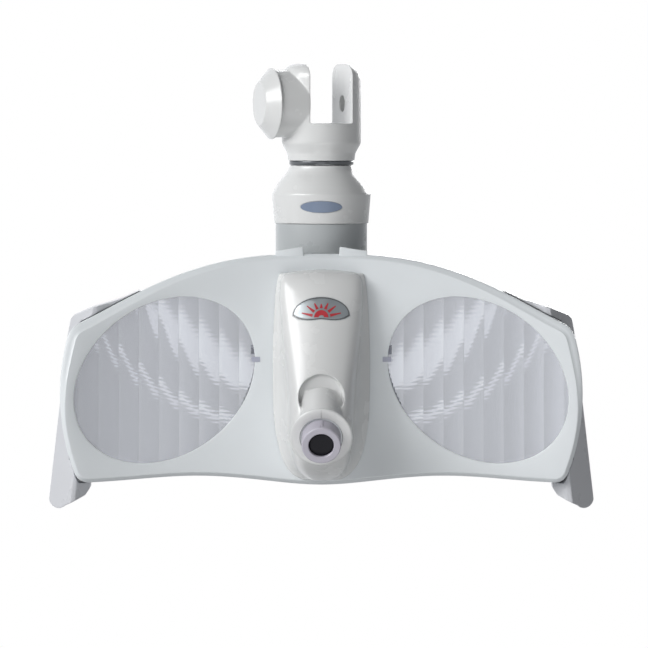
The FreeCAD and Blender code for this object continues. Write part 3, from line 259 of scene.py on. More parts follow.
def vary(mat, color, amount, scale):
    """Lets the base colour drift by a small share of itself over the surface."""
    noise = object_noise(mat, scale)
    low = tuple(c * (1 - amount) for c in color)
    high = tuple(min(1, c * (1 + amount)) for c in color)
    shades = ramp(mat, noise.outputs["Fac"], [(0.3, low), (0.7, high)])
    return shades.outputs["Color"]


def painted_seam_shade(mat, unshaded, amount=0.25, distance=4.0):
    """Painted shade: darkens a colour a little in the seams and inner corners, where ambient occlusion finds
    them hemmed in.
    """
    hidden = node(mat, "ShaderNodeAmbientOcclusion", Distance=distance * MM)
    hidden.samples = 8
    open_share = ramp(mat, hidden.outputs["AO"], [(0.25, (1 - amount,) * 3), (0.85, (1, 1, 1))])
    return multiplied(mat, unshaded, open_share.outputs["Color"])


def rough_map(mat, low, high, scale):
    """Roughness that drifts between two values, as handled plastic and paint do."""
    noise = object_noise(mat, scale, 4.0)
    spread = node(mat, "ShaderNodeMapRange")
    for key, value in (("From Min", 0.35), ("From Max", 0.65), ("To Min", low), ("To Max", high)):
        spread.inputs[key].default_value = value
    link(mat, noise.outputs["Fac"], spread.inputs["Value"])
    link(mat, spread.outputs["Result"], shader_input(mat, "Roughness"))


def bump(mat, height, strength, distance):
    """A fine relief from a height output, its distance in millimetres."""
    relief = node(mat, "ShaderNodeBump", Strength=strength, Distance=distance * MM)
    link(mat, height, relief.inputs["Height"])
    link(mat, relief.outputs["Normal"], shader_input(mat, "Normal"))


def moulded(name, color, roughness, grain, relief, drift=0.015, coat=0.0, seam_shade=0.2):
    """Injection-moulded plastic: a faint colour drift, uneven gloss, fine skin and painted shade in the
    seams.
    """
    mat = principled(name, color, roughness, Coat_Weight=coat, Coat_Roughness=0.06, IOR=1.5)
    base = vary(mat, color, drift, 14)
    # The base colour carries painted shade in the seams and inner corners.
    link(mat, painted_seam_shade(mat, base, seam_shade), shader_input(mat, "Base Color"))
    rough_map(mat, roughness * 0.85, roughness * 1.2, 26)
    bump(mat, object_noise(mat, grain, 2.0).outputs["Fac"], relief, 0.05)
    return mat


def turned_metal(name, color, roughness, along, lines=0.25, seam_shade=0.25):
    """Machined metal: fine tool lines across one axis, with slightly uneven polish and painted shade in the
    seams.
    """
    mat = principled(name, color, roughness, metallic=1.0)
    # The base colour carries painted shade in the seams and inner corners.
    link(mat, painted_seam_shade(mat, vary(mat, color, 0.05, 60), seam_shade), shader_input(mat, "Base Color"))
    rough_map(mat, roughness * 0.8, roughness * 1.3, 120)
    stretch = tuple(90.0 if k == along else 1.0 for k in range(3))
    bump(mat, object_noise(mat, 25, 2.0, stretch).outputs["Fac"], lines, 0.03)
    return mat


# Painted shade on the mirror bowls: their colour darkens towards the head's ends and across each strip
# towards its inner side.
STRIP_START, STRIP_WIDTH = 0.0427, 0.020  # metres: the first strip's inner edge and the mean width of a strip
FADE_START, FADE_END = 0.06, 0.25


def mirror_with_painted_shade():
    """The metallised bowl, with painted shade in its colour: darker towards the head's ends and on each
    strip's inner side.
    """
    mat = principled("metallised reflector", (0.80, 0.81, 0.84), 0.03, metallic=1.0)
    rough_map(mat, 0.02, 0.045, 90)
    split = node(mat, "ShaderNodeSeparateXYZ")
    link(mat, node(mat, "ShaderNodeTexCoord").outputs["Object"], split.inputs[0])
    across = calc(mat.node_tree, "ABSOLUTE", split.outputs["X"])
    far = node(mat, "ShaderNodeMapRange")
    far.inputs["From Min"].default_value, far.inputs["From Max"].default_value = FADE_START, FADE_END
    link(mat, across, far.inputs["Value"])
    # painted shade: the colour darkens towards the head's ends
    painted_end_shade = ramp(mat, far.outputs["Result"], [(0.0, (0.87, 0.88, 0.92)), (1.0, (0.62, 0.63, 0.665))])
    # painted shade: each strip is darker on its inner side
    strips = calc(mat.node_tree, "DIVIDE", calc(mat.node_tree, "SUBTRACT", across, STRIP_START), STRIP_WIDTH)
    shade = ramp(mat, calc(mat.node_tree, "FRACT", strips),
                 [(0.0, (0.89, 0.89, 0.90)), (0.7, (0.95, 0.95, 0.96)), (1.0, (1.0, 1.0, 1.0))])
    link(mat, multiplied(mat, painted_end_shade.outputs["Color"], shade.outputs["Color"]), shader_input(mat, "Base Color"))
    return mat


def make_materials():
    """Every finish on the object, by record slot."""
    mats = {
        "gloss_white": moulded("gloss white plastic", (0.735, 0.742, 0.738), 0.24, 900, 0.05, coat=0.25),
        "panel_white": moulded("satin white plastic", (0.765, 0.80, 0.82), 0.34, 1500, 0.12, coat=0.1),
        "handle_white": moulded("handle plastic", (0.62, 0.63, 0.66), 0.30, 1300, 0.12, coat=0.15),
        "sleeve_grey": moulded("grey paint", (0.455, 0.48, 0.49), 0.30, 700, 0.10, coat=0.2),
        "badge_blue": moulded("blue-grey inlay", (0.20, 0.255, 0.36), 0.22, 600, 0.05, coat=0.4),
        "nameplate": turned_metal("satin nameplate", (0.27, 0.29, 0.30), 0.35, 2, 0.15),
        # badge_rim and badge_edge are painted shade and painted highlight: a dark band and a pale band round
        # the nameplate.
        "badge_rim": moulded("painted shade round the nameplate", (0.09, 0.095, 0.10), 0.25, 900, 0.05, coat=0.3),
        "badge_edge": moulded("painted highlight round the nameplate", (0.60, 0.62, 0.63), 0.35, 900, 0.05),
        "mark_red": moulded("red emblem", (0.46, 0.012, 0.022), 0.22, 800, 0.05, coat=0.4),
        "chrome": turned_metal("polished chrome", (0.12, 0.125, 0.13), 0.12, 2, 0.05),
        "camera_metal": moulded("anodised camera metal", (0.53, 0.51, 0.58), 0.42, 900, 0.05),
        "lens_dark": moulded("coated lens", (0.012, 0.012, 0.016), 0.14, 50, 0.0, coat=0.0, seam_shade=0.0),
        "latch_grey": moulded("translucent latch", (0.42, 0.43, 0.52), 0.30, 900, 0.05),
        "steel": turned_metal("machined steel", (0.48, 0.49, 0.50), 0.30, 2),
        "bronze": turned_metal("bearing bronze", (0.50, 0.33, 0.15), 0.40, 2),
        "cast_aluminium": turned_metal("cast aluminium", (0.56, 0.57, 0.58), 0.45, 0, 0.35),
        "black_anodised": turned_metal("black anodised fins", (0.03, 0.03, 0.033), 0.38, 0),
        "board_green": moulded("solder mask", (0.012, 0.10, 0.04), 0.35, 1200, 0.15),
        "component_black": moulded("component body", (0.02, 0.02, 0.022), 0.45, 1500, 0.2),
        "lead_grey": moulded("lead insulation", (0.05, 0.05, 0.055), 0.5, 1500, 0.2),
        "button_grey": moulded("button plastic", (0.12, 0.13, 0.14), 0.45, 1500, 0.25),
    }
    clear = principled("clear cover", (0.93, 0.95, 0.96), 0.03, Alpha=0.10, IOR=1.49, Coat_Weight=1.0)
    bump(clear, object_noise(clear, 60, 1.0).outputs["Fac"], 0.02, 0.1)
    mats["clear_cover"] = clear
    dome = principled("clear dome", (0.95, 0.93, 0.80), 0.05, Alpha=0.55, IOR=1.49, Coat_Weight=1.0)
    bump(dome, object_noise(dome, 200, 1.0).outputs["Fac"], 0.05, 0.1)
    mats["led_dome"] = dome
    mats["reflector"] = mirror_with_painted_shade()
    shader_input(mats["lens_dark"], "Specular IOR Level").default_value = 0.08
    return mats


MATS = make_materials()


def finish_nodes():
    """Gives every CAD node that stays in view the material of its record slot."""
    slots = {part["node"]: part["material_slot"] for part in frame["record"]["subparts"]}
    for name, obj in frame["nodes"].items():
        obj.data.materials.clear()
        obj.data.materials.append(MATS[slots[name]])


# ---------------------------------------------------------------- head panel

def dish_y(x, depth=0.0):
    """Where the head's front surface, moved back by a depth, lies at x."""
    return PANEL_Y - DISH_R + math.sqrt((DISH_R + depth) ** 2 - x * x)


def bend(start, corner, end, t):
    """A point at share t of the bend from start to end that a corner pulls on."""
    return start * (1 - t) ** 2 + corner * 2 * t * (1 - t) + end * t * t


def cubic_through(points, per_span=24):
    """A natural cubic curve through points, divided evenly in each span."""
    pts = np.array(points, float)
    n = len(pts)
    gaps = np.sqrt((np.diff(pts, axis=0) ** 2).sum(1))
    system, right = np.zeros((n, n)), np.zeros((n, 2))
    system[0, 0] = system[-1, -1] = 1
    for i in range(1, n - 1):
        system[i, i - 1:i + 2] = gaps[i - 1], 2 * (gaps[i - 1] + gaps[i]), gaps[i]
        right[i] = 6 * ((pts[i + 1] - pts[i]) / gaps[i] - (pts[i] - pts[i - 1]) / gaps[i - 1])
    curl = np.linalg.solve(system, right)
    made = []
    for i in range(n - 1):
        for k in range(per_span):
            t = k / per_span * gaps[i]
            a, b = gaps[i] - t, t
            made.append(curl[i] * a ** 3 / (6 * gaps[i]) + curl[i + 1] * b ** 3 / (6 * gaps[i])
                        + (pts[i] / gaps[i] - curl[i] * gaps[i] / 6) * a
                        + (pts[i + 1] / gaps[i] - curl[i + 1] * gaps[i] / 6) * b)
    made.append(pts[-1])
    return np.array(made)


def arc_through(a, mid, b, count=40):
    """Points on the circle through three points."""
    (ax, ay), (bx, by), (cx, cy) = a, mid, b
    d = 2 * (ax * (by - cy) + bx * (cy - ay) + cx * (ay - by))
    a2, b2, c2 = ax**2 + ay**2, bx**2 + by**2, cx**2 + cy**2
    ux = (a2 * (by - cy) + b2 * (cy - ay) + c2 * (ay - by)) / d
    uy = (a2 * (cx - bx) + b2 * (ax - cx) + c2 * (bx - ax)) / d
    r = math.hypot(ax - ux, ay - uy)
    start, end = math.atan2(ay - uy, ax - ux), math.atan2(cy - uy, cx - ux)
    end = start + (end - start + math.pi) % (2 * math.pi) - math.pi
    return np.array([(ux + r * math.cos(start + (end - start) * k / count),
                      uy + r * math.sin(start + (end - start) * k / count)) for k in range(count + 1)])


def head_outline(count=420):
    """The head's outline seen from the front, clockwise from the top left, evenly spaced."""
    half, top, bottom, bulge, cut = PANEL_HALF, PANEL_TOP, PANEL_BOTTOM, -286, CORNER_R * 0.8
    heads = [(half - 10, top - 73), (half - 39, top - 58), (half - 82, top - 36), (half - 134, top - 15.2),
             (half - 173, top - 5.7)]
    feet = [(half - 18, bottom + 4.2), (half - 35, bottom + 4.6), (half - 80, bottom + 7.2),
            (half - 135, bottom + 9.6), (half - 196, bottom + 5.4)]
    upper = cubic_through([(-x, z) for x, z in heads] + [(0, top)] + heads[::-1])
    lower = cubic_through(feet + [(0, bottom)] + [(-x, z) for x, z in feet[::-1]])
    right = arc_through(upper[-1], (half, bulge), lower[0])
    left = arc_through(lower[-1], (-half, bulge), upper[0])
    sides = [upper, right, lower, left]
    loop = []
    for i, side in enumerate(sides):
        ahead = sides[(i + 1) % 4]
        trimmed = trim(trim(side, cut)[::-1], cut)[::-1]
        loop += list(trimmed)
        start, corner, end = trimmed[-1], side[-1], trim(ahead, cut)[0]
        loop += [bend(start, corner, end, k / 8) for k in range(1, 8)]
    return evenly(np.array(loop), count)


def trim(points, length):
    """A polyline without its first stretch of a length."""
    gaps = np.concatenate([[0], np.cumsum(np.sqrt((np.diff(points, axis=0) ** 2).sum(1)))])
    start = np.array([np.interp(length, gaps, points[:, k]) for k in range(points.shape[1])])
    return np.vstack([start, points[gaps > length + 0.5]])


def evenly(loop, count):
    """A closed polyline resampled at equal steps."""
    closed = np.vstack([loop, loop[:1]])
    gaps = np.concatenate([[0], np.cumsum(np.sqrt((np.diff(closed, axis=0) ** 2).sum(1)))])
    at = np.linspace(0, gaps[-1], count + 1)[:-1]
    return np.stack([np.interp(at, gaps, closed[:, k]) for k in range(2)], 1)


def inward(loop):
    """Unit normals that point into a clockwise loop."""
    ahead, behind = np.roll(loop, -3, 0), np.roll(loop, 3, 0)
    along = ahead - behind
    along /= np.sqrt((along ** 2).sum(1))[:, None]
    return np.stack([along[:, 1], -along[:, 0]], 1)


def ellipse(side, a, b, count, turn=WINDOW_TURN):
    """Points of a window's oval, on the side +1 or -1."""
    made = []
    for k in range(count):
        t = 2 * math.pi * k / count
        u, v = a * math.cos(t), b * math.sin(t)
        made.append((side * (WINDOW_X - u * math.cos(turn) + v * math.sin(turn)),
                     WINDOW_Z + u * math.sin(turn) + v * math.cos(turn)))
    return np.array(made)


def bevel_width(x, z):
    """How wide the bevel along the outline is: narrow, but broad along the top towards the corners."""
    if z > -250:
        return 3.2 + 4.6 * min(1.0, (abs(x) / 235.0) ** 1.8)
    return 3.0 + 4.8 * max(0.0, 1 - (-250 - z) / 60.0)


def front_panel():
    """The curved front shell: bevelled outline, rim wall, window openings and a hole under the nose."""
    loop = head_outline()
    normal = inward(loop)
    n = len(loop)
    width = np.array([bevel_width(x, z) for x, z in loop])
    for _ in range(12):
        width = (np.roll(width, 1) + width + np.roll(width, -1)) / 3
    rim = np.array([NOTCH_RIM if abs(x) < NOTCH_HALF and z > NOTCH_FOOT else RIM_DEPTH for x, z in loop])
    # each ring: share of the bevel width moved inwards, extra inset in millimetres, depth behind the dish
    steps = [(0, 0.0, rim), (0, 0.0, rim * 0.5 + 2.5), (0, 0.0, np.full(n, 5.2)), (0, 0.35, np.full(n, 3.9)),
             (0, 1.2, np.full(n, 3.1)), (0.5, 0.8, 0.12 * width + 1.3), (1.0, 0.4, 0.02 * width + 0.42),
             (1.0, 0.9, np.full(n, 0.12)), (1.0, 2.0, np.full(n, 0.0))]
    verts, faces = [], ring_faces(len(steps), n)
    for share, inset, depth in steps:
        ring = loop + normal * (width * share + inset)[:, None]
        verts += [(x, dish_y(x, d), z) for (x, z), d in zip(ring, depth)]
    fill_front(verts, faces, ring, (len(steps) - 1) * n)
    obj = piece("front_panel_shell", verts, faces, "head", MATS["panel_white"],
                ("front_panel",))
    tidy(obj)
    turn_outwards(obj)
    add_modifier(obj, "SOLIDIFY", thickness=PANEL_SKIN * MM, offset=-1.0, use_even_offset=False)
    settle(obj)
    dress(obj, "head", MATS["panel_white"], ("front_panel",))
    sharpen(obj, 40)
    return obj


def turn_outwards(obj):
    """Flips an open shell whose front faces point away from the viewer."""
    front = max(obj.data.polygons, key=lambda p: p.area)
    if front.normal.y > 0:
        with edited(obj) as bm:
            bmesh.ops.reverse_faces(bm, faces=bm.faces)


def window_lip(side, count=150):
    """Rings of a window's softly rounded edge, from the panel's face inwards to the opening."""
    return [(ellipse(side, WINDOW_A + grow, WINDOW_B + grow, count), depth)
            for grow, depth in ((LIP, 0.0), (0.45, 0.08), (0.1, 0.35), (0.0, 0.8))]


def fill_front(verts, faces, ring, first):
    """Fills the dish between the innermost outline ring, the window lips and the hole under the nose."""
    n, span = len(ring), np.array(ring)
    points = [Vector(p) for p in ring]
    edges = [(i, (i + 1) % n) for i in range(n)]
    index = list(range(first, first + n))
    for side in (1, -1):
        lips = window_lip(side)
        count, start, base = len(lips[0][0]), len(verts), len(points)
        for oval, depth in lips:
            verts += [(x, dish_y(x, depth), z) for x, z in oval]
        faces += ring_faces(len(lips), count, start)
        points += [Vector(p) for p in lips[0][0]]
        index += list(range(start, start + count))
        edges += [(base + i, base + (i + 1) % count) for i in range(count)]

    def add_points(places):
        """Adds points of the dish that belong to no ring."""
        for x, z in places:
            points.append(Vector((x, z)))
            index.append(len(verts))
            verts.append((x, dish_y(x), z))

    half, low, high = NOSE_HOLE
    base = len(points)
    add_points([(-half, low), (half, low), (half, high), (-half, high)])
    edges += [(base + i, base + (i + 1) % 4) for i in range(4)]
    edge_gap, nose_gap = 6.5, 5
    for z in np.arange(-380, -150, 9.0):
        for x in np.arange(-256, 257, 8.0):
            p = np.array([x, z])
            near_nose = abs(x) < half + 4 and low - nose_gap < z < high + nose_gap
            if near_nose or window_level(x, z, WINDOW_A + LIP, WINDOW_B + LIP) < 1.09:
                continue
            if inside(p, span) and np.sqrt(((span - p) ** 2).sum(1)).min() >= edge_gap:
                add_points([p])
    placed, _, tris, source, _, _ = delaunay_2d_cdt(points, edges, [], 0, 1e-4)
    owner = [index[s[0]] for s in source]
    for tri in tris:
        x, z = sum((placed[i] for i in tri), Vector((0, 0))) / len(tri)
        if abs(x) < half and low < z < high or window_level(x, z, WINDOW_A + LIP, WINDOW_B + LIP) < 1.0:
            continue
        if inside((x, z), span):
            faces.append(tuple(owner[i] for i in tri))


def window_level(x, z, a, b):
    """Under 1 inside an oval about the window on the point's own side, over 1 outside it."""
    dx, dz = abs(x) - WINDOW_X, z - WINDOW_Z
    return math.hypot((-dx * math.cos(WINDOW_TURN) + dz * math.sin(WINDOW_TURN)) / a,
                      (dx * math.sin(WINDOW_TURN) + dz * math.cos(WINDOW_TURN)) / b)


def inside(p, loop):
    """Whether a point lies within a closed polyline."""
    x, z = p
    x0, z0 = loop[:, 0], loop[:, 1]
    x1, z1 = np.roll(x0, -1), np.roll(z0, -1)
    crosses = (z0 > z) != (z1 > z)
    with np.errstate(divide="ignore", invalid="ignore"):
        at = x0 + (z - z0) * (x1 - x0) / (z1 - z0)
    return bool((crosses & (x < at)).sum() % 2)


# ---------------------------------------------------------------- reflectors

MIRROR_A, MIRROR_B = 102.0, 81.0
STRIP_EDGES = [44, 62.7, 82.6, 102.5, 123, 143.5, 163.5, 183.5, 203.3, 222.5, 241, 262]
RIDGE_PITCH, RIDGES_EACH_WAY = 4.8, 19
ACROSS_CUTS, RIDGE_CUTS = 5, 3  # faces across each facet, and up it
BOWL_DEPTH, BOWL_TOE, BOWL_ACROSS, BOWL_UP = 28.0, -0.06, 0.00075, 0.003125
STRIP_CROWN, RIDGE_CROWN = -0.22, -0.052


def mirror_depth(x, z, strip, ridge):
    """How far behind the dish the mirror lies; strip and ridge run from -1 to 1 over each facet."""
    dx, dz = x - WINDOW_X, z - WINDOW_Z
    bowl = BOWL_DEPTH + BOWL_TOE * dx - BOWL_ACROSS * dx * dx - BOWL_UP * dz * dz
    return bowl + STRIP_CROWN * strip * strip + RIDGE_CROWN * ridge * ridge


def facet_point(strip, row, i, j):
    """The distance out and the height of the point i faces across and j faces up a facet."""
    left, right = STRIP_EDGES[strip:strip + 2]
    low = WINDOW_Z + RIDGE_PITCH * (row - RIDGES_EACH_WAY)
    return left + (right - left) * i / ACROSS_CUTS, low + RIDGE_PITCH * j / RIDGE_CUTS


def reflector(side, name):
    """A toed-in bowl of upright mirror strips, each crossed by fine level ridges, creased at every edge."""
    verts, faces, facets, known = [], [], [], {}
    rows = 2 * RIDGES_EACH_WAY
    for strip in range(len(STRIP_EDGES) - 1):
        for row in range(rows):
            grid = {}
            for i in range(ACROSS_CUTS + 1):
                for j in range(RIDGE_CUTS + 1):
                    key = (strip * ACROSS_CUTS + i, row * RIDGE_CUTS + j)
                    if key not in known:
                        known[key] = len(verts)
                        x, z = facet_point(strip, row, i, j)
                        depth = mirror_depth(x, z, 2 * i / ACROSS_CUTS - 1, 2 * j / RIDGE_CUTS - 1)
                        verts.append((side * x, dish_y(x) + depth, z))
                    grid[i, j] = known[key]
            for i in range(ACROSS_CUTS):
                for j in range(RIDGE_CUTS):
                    middle = facet_point(strip, row, i + 0.5, j + 0.5)
                    if window_level(*middle, MIRROR_A, MIRROR_B) <= 1:
                        faces.append((grid[i, j], grid[i + 1, j], grid[i + 1, j + 1], grid[i, j + 1]))
                        facets.append(strip * rows + row)
    obj = piece("reflector_facets_" + name, verts, faces, "head", MATS["reflector"],
                ("reflector_" + name,))
    with edited(obj) as bm:
        layer = bm.faces.layers.int.new("facet")
        for face, number in zip(bm.faces, facets):
            face[layer] = number
        bmesh.ops.delete(bm, geom=[v for v in bm.verts if not v.link_faces], context="VERTS")
        for edge in bm.edges:
            edge.smooth = len({face[layer] for face in edge.link_faces}) == 1
        bmesh.ops.recalc_face_normals(bm, faces=bm.faces)
        bm.faces.layers.int.remove(bm.faces.layers.int["facet"])
    turn_outwards(obj)
    return obj


# ---------------------------------------------------------------- nose

# height, half width of the crowned face, half width at the foot, front of the face, fall back of its sides
NOSE_STATIONS = [
    (-165.4, 24.0, 40.6, -72.0, 1.5), (-166.6, 32.0, 41.4, -76.5, 3.2),
    (-169.5, 37.5, 42.2, -83.0, 6.0), (-176.0, 40.2, 43.4, -90.0, 9.5),
    (-190.0, 40.8, 45.0, -97.0, 12.0), (-210.0, 39.6, 46.4, -104.0, 13.5),
    (-235.0, 37.4, 47.4, -112.0, 14.0), (-260.0, 34.8, 47.8, -121.0, 13.5),
    (-285.0, 32.2, 47.6, -131.5, 12.5), (-305.0, 30.8, 47.2, -140.0, 11.5),
    (-325.0, 29.8, 45.6, -144.0, 10.5), (-342.0, 28.4, 42.4, -139.5, 10.0),
    (-355.0, 26.0, 38.6, -128.0, 9.0), (-365.0, 22.4, 33.2, -113.0, 7.5),
    (-372.0, 17.0, 27.0, -97.0, 5.0), (-376.8, 10.0, 18.0, -80.5, 2.0),
]
NOSE_TOP, NOSE_CHIN = -165.6, -376.6
SCOOP_PLACE = (0, -121.0, -291.5)
SCOOP = [(0, 0), (20.6, 0), (22.0, 0.7), (22.6, 2.2), (22.7, 60), (0, 60)]  # radius, height
SNOUT_DIP, SNOUT_BEND = math.radians(23), math.radians(15)
SNOUT_FACE = Vector((0, -158, -330.4))
SNOUT_OUT = Vector((0, -math.cos(SNOUT_DIP), -math.sin(SNOUT_DIP)))
SNOUT_FACE_R, SNOUT_BORE_R = 31.5, 20.9


def monotone(x, y, at):
    """A smooth curve through points that never overshoots them."""
    gap = np.diff(x)
    slope = np.diff(y) / gap
    both = slope[1:] * slope[:-1]
    meet = np.where(both > 0, 2 * both / (slope[1:] + slope[:-1] + 1e-12), 0)
    tangent = np.concatenate([[slope[0]], meet, [slope[-1]]])
    i = np.clip(np.searchsorted(x, at) - 1, 0, len(x) - 2)
    t = (at - x[i]) / gap[i]
    return ((1 + 2 * t) * (1 - t) ** 2 * y[i] + t * (1 - t) ** 2 * gap[i] * tangent[i]
            + t * t * (3 - 2 * t) * y[i + 1] + t * t * (t - 1) * gap[i] * tangent[i + 1])


def nose_section(face, foot, front, fall):
    """Half a level section: a crowned face, a rounded ridge and a hollow flank out to the panel."""
    rim = dish_y(foot) - 3.0
    ridge = front + fall
    turn = min(13.0, face * 0.38)  # the ridge's rounding, taken off the face
    points = []
    for k in range(13):
        x = (face - turn) * k / 12
        points.append((x, front + fall * 0.8 * (x / face) ** 2))
    start = Vector(points[-1])
    slope = fall * 1.6 * start.x / face ** 2
    corner = Vector((face + 0.4, start.y + slope * (face + 0.4 - start.x)))
    end = Vector((face + (foot - face) * 0.12, ridge + (rim - ridge) * 0.34))
    points += [tuple(bend(start, corner, end, k / 10)) for k in range(1, 11)]
    low, knee = Vector((foot, rim)), Vector((face + (foot - face) * 0.30, rim - (rim - ridge) * 0.16))
    points += [tuple(bend(end, knee, low, k / 14)) for k in range(1, 15)]
    points += [(foot + 0.7, rim + 0.7), (foot + 0.9, rim + 1.8), (foot + 0.7, rim + 5.0)]
    return points


def nose_body():
    """The closed body of the nose with its flanks, from its top edge down to the chin."""
    table = np.array(NOSE_STATIONS)[::-1]
    heights = np.concatenate([np.linspace(NOSE_CHIN, -372, 6)[:-1], np.linspace(-372, -180, 96),
                              np.linspace(-180, NOSE_TOP, 22)[1:]])
    columns = [monotone(table[:, 0], table[:, k], heights) for k in range(1, 5)]
    rings = []
    for z, *sizes in zip(heights, *columns):
        half = nose_section(*sizes)
        drop = 4.6 * max(0.0, 1 - (NOSE_TOP - z) / 22) ** 1.5  # rounds the top edge down at its sides
        section = [(-x, y) for x, y in half[:0:-1]] + half
        rings.append([(x, y, z - drop * (x / 43.0) ** 2) for x, y in section])
    return raw_tube("nose_body", rings)


def raw_tube(name, rings):
    """A bare solid through closed rings of points, with a flat face at each end."""
    n = len(rings[0])
    verts = [point for ring in rings for point in ring]
    ends = [tuple(range(n))[::-1], tuple(range(len(verts) - n, len(verts)))]
    return raw_mesh(name, verts, ring_faces(len(rings), n) + ends)


def raw_mesh(name, verts, faces):
    """A bare object, from which a piece is made or cut."""
    obj = new_object(name, new_mesh(name, verts, faces))
    tidy(obj)
    return obj


def raw_lathe(name, profile, base, axis, steps=96):
    """A bare turned solid from (radius, height) points that start and end on the axis."""
    turn = Vector((0, 0, 1)).rotation_difference(Vector(axis).normalized())
    verts, faces, n = [], [], len(profile)
    for i in range(steps):
        angle = 2 * math.pi * i / steps
        for r, h in profile:
            verts.append(Vector(base) + turn @ Vector((r * math.cos(angle), r * math.sin(angle), h)))
    for i in range(steps):
        for k in range(n - 1):
            a, b = i * n + k, i * n + k + 1
            c, d = (i + 1) % steps * n + k + 1, (i + 1) % steps * n + k
            faces.append((a, b, c, d))
    return raw_mesh(name, verts, faces)


def combine(obj, other, operation):
    """Joins or cuts with another solid, which is then removed."""
    add_modifier(obj, "BOOLEAN", operation=operation, object=other, solver="EXACT")
    settle(obj)
    bpy.data.objects.remove(other)


def snout_solid():
    """The camera's snout: a tube that bends up into the nose and flares to a wide ring at its face."""
    # distance back from the face, radius
    places = [(0.0, SNOUT_FACE_R - 2.6), (0.25, SNOUT_FACE_R - 0.8), (1.4, SNOUT_FACE_R),
              (3.0, SNOUT_FACE_R - 0.3), (6.0, 29.4), (10.0, 26.4), (14.5, 24.0), (18.5, 22.8), (23.0, 22.2),
              (30.0, 22.0), (38.0, 22.0), (46.0, 22.0), (56.0, 22.0)]
    centre, last, rings = Vector(SNOUT_FACE), 0.0, []
    for s, r in places:
        dip = SNOUT_DIP + SNOUT_BEND * min(1.0, max(0.0, (s - 6) / 16))
        back = Vector((0, math.cos(dip), math.sin(dip)))
        up = Vector((0, -math.sin(dip), math.cos(dip)))
        centre = centre + back * (s - last)
        last = s
        rings.append([centre + Vector((r * math.cos(a), 0, 0)) + up * (r * math.sin(a))
                      for a in (2 * math.pi * k / 96 for k in range(96))])
    return raw_tube("snout", rings)


def nose_cover():
    """The glossy nose: body, thumb scoop and flared snout blended together, then bored for the camera."""
    obj = nose_body()
    combine(obj, raw_lathe("scoop", SCOOP, SCOOP_PLACE, (0, -1, 0)), "DIFFERENCE")
    combine(obj, snout_solid(), "UNION")
    add_modifier(obj, "REMESH", mode="VOXEL", voxel_size=0.85 * MM)
    add_modifier(obj, "SMOOTH", factor=0.5, iterations=7)
    settle(obj)
    bore = raw_lathe("bore", [(0, -40), (SNOUT_BORE_R, -40), (SNOUT_BORE_R, -1.4), (SNOUT_BORE_R + 0.9, 0.6),
                              (SNOUT_BORE_R + 0.9, 9), (0, 9)], SNOUT_FACE, SNOUT_OUT)
    combine(obj, bore, "DIFFERENCE")
    up = Vector((0, -math.sin(SNOUT_DIP), math.cos(SNOUT_DIP)))
    mark = slab(SNOUT_FACE + up * 26.3, Vector((1, 0, 0)), up, SNOUT_OUT, (0.6, 8.0, 1.6))
    combine(obj, mark, "DIFFERENCE")
    obj.name = "nose_shell"
    dress(obj, "head", MATS["gloss_white"], ("nose_cover", "nose_skirt"))
    sharpen(obj, 38)
    return obj


def slab(centre, a, b, c, size):
    """A bare box about a centre, along three axes."""
    corners = [(i, j, k) for i in (-0.5, 0.5) for j in (-0.5, 0.5) for k in (-0.5, 0.5)]
    verts = [Vector(centre) + a * (i * size[0]) + b * (j * size[1]) + c * (k * size[2])
             for i, j, k in corners]
    faces = [(0, 1, 3, 2), (4, 6, 7, 5), (0, 4, 5, 1), (2, 3, 7, 6), (0, 2, 6, 4), (1, 5, 7, 3)]
    return raw_mesh("slab", verts, faces)


def badge_outline(grow, steps=40):
    """The half-moon nameplate's outline, widened by grow, anticlockwise from its lower right."""
    half, low, tall, foot = 27.6 + grow, -214.9 - grow, 21.4 + 2 * grow, 4.4
    made = []
    for k in range(steps + 1):
        t = math.pi * k / steps
        made.append((half * math.cos(t) * (1 - 0.03 * math.sin(t)),
                     low + foot + (tall - foot) * math.sin(t) ** 0.92))
    for k in range(1, 12):
        t = k / 12
        x = -half + 2 * half * t
        made.append((x, low + foot * abs(2 * t - 1) ** 5 + 1.3 * math.exp(-(x / 7.0) ** 2)))
    return np.array(made)


def on_nose(nose):
    """A function that gives the nose's front surface at x, z."""
    tree = BVHTree.FromObject(nose, bpy.context.evaluated_depsgraph_get())

    def depth(x, z):
        """Where a level line from the viewer meets the nose."""
        hit = tree.ray_cast(Vector((x, -300, z)) * MM, Vector((0, 1, 0)))[0]
        return hit.y / MM

    return depth


def draped_plate(name, outline, depth, lift, sink, material, stands_for):
    """A thin plate with a rounded rim, laid on a surface within an outline."""
    n, middle = len(outline), outline.mean(0)
    verts = []
    shares = ((1.0, -sink), (1.0, lift - 0.35), (0.992, lift - 0.1), (0.98, lift))
    for share, forward in shares:
        ring = middle + (outline - middle) * share
        verts += [(x, depth(x, z) - forward, z) for x, z in ring]
    faces = ring_faces(len(shares), n)
    points = [Vector(p) for p in ring]
    index = list(range(len(verts) - n, len(verts)))
    low, high = ring.min(0), ring.max(0)
    for x in np.arange(low[0] + 1, high[0], 2.0):
        for z in np.arange(low[1] + 1, high[1], 2.0):
            p = np.array([x, z])
            if inside(p, ring) and np.sqrt(((ring - p) ** 2).sum(1)).min() > 1.0:
                points.append(Vector(p))
                index.append(len(verts))
                verts.append((x, depth(x, z) - lift, z))
    edges = [(i, (i + 1) % n) for i in range(n)]
    _, _, tris, source, _, _ = delaunay_2d_cdt(points, edges, [], 1, 1e-4)
    faces += [tuple(index[source[i][0]] for i in tri) for tri in tris]
    faces.append(tuple(range(n)))
    obj = piece(name, verts, faces, "head", MATS[material], stands_for)
    tidy(obj)
    sharpen(obj, 50)
    return obj


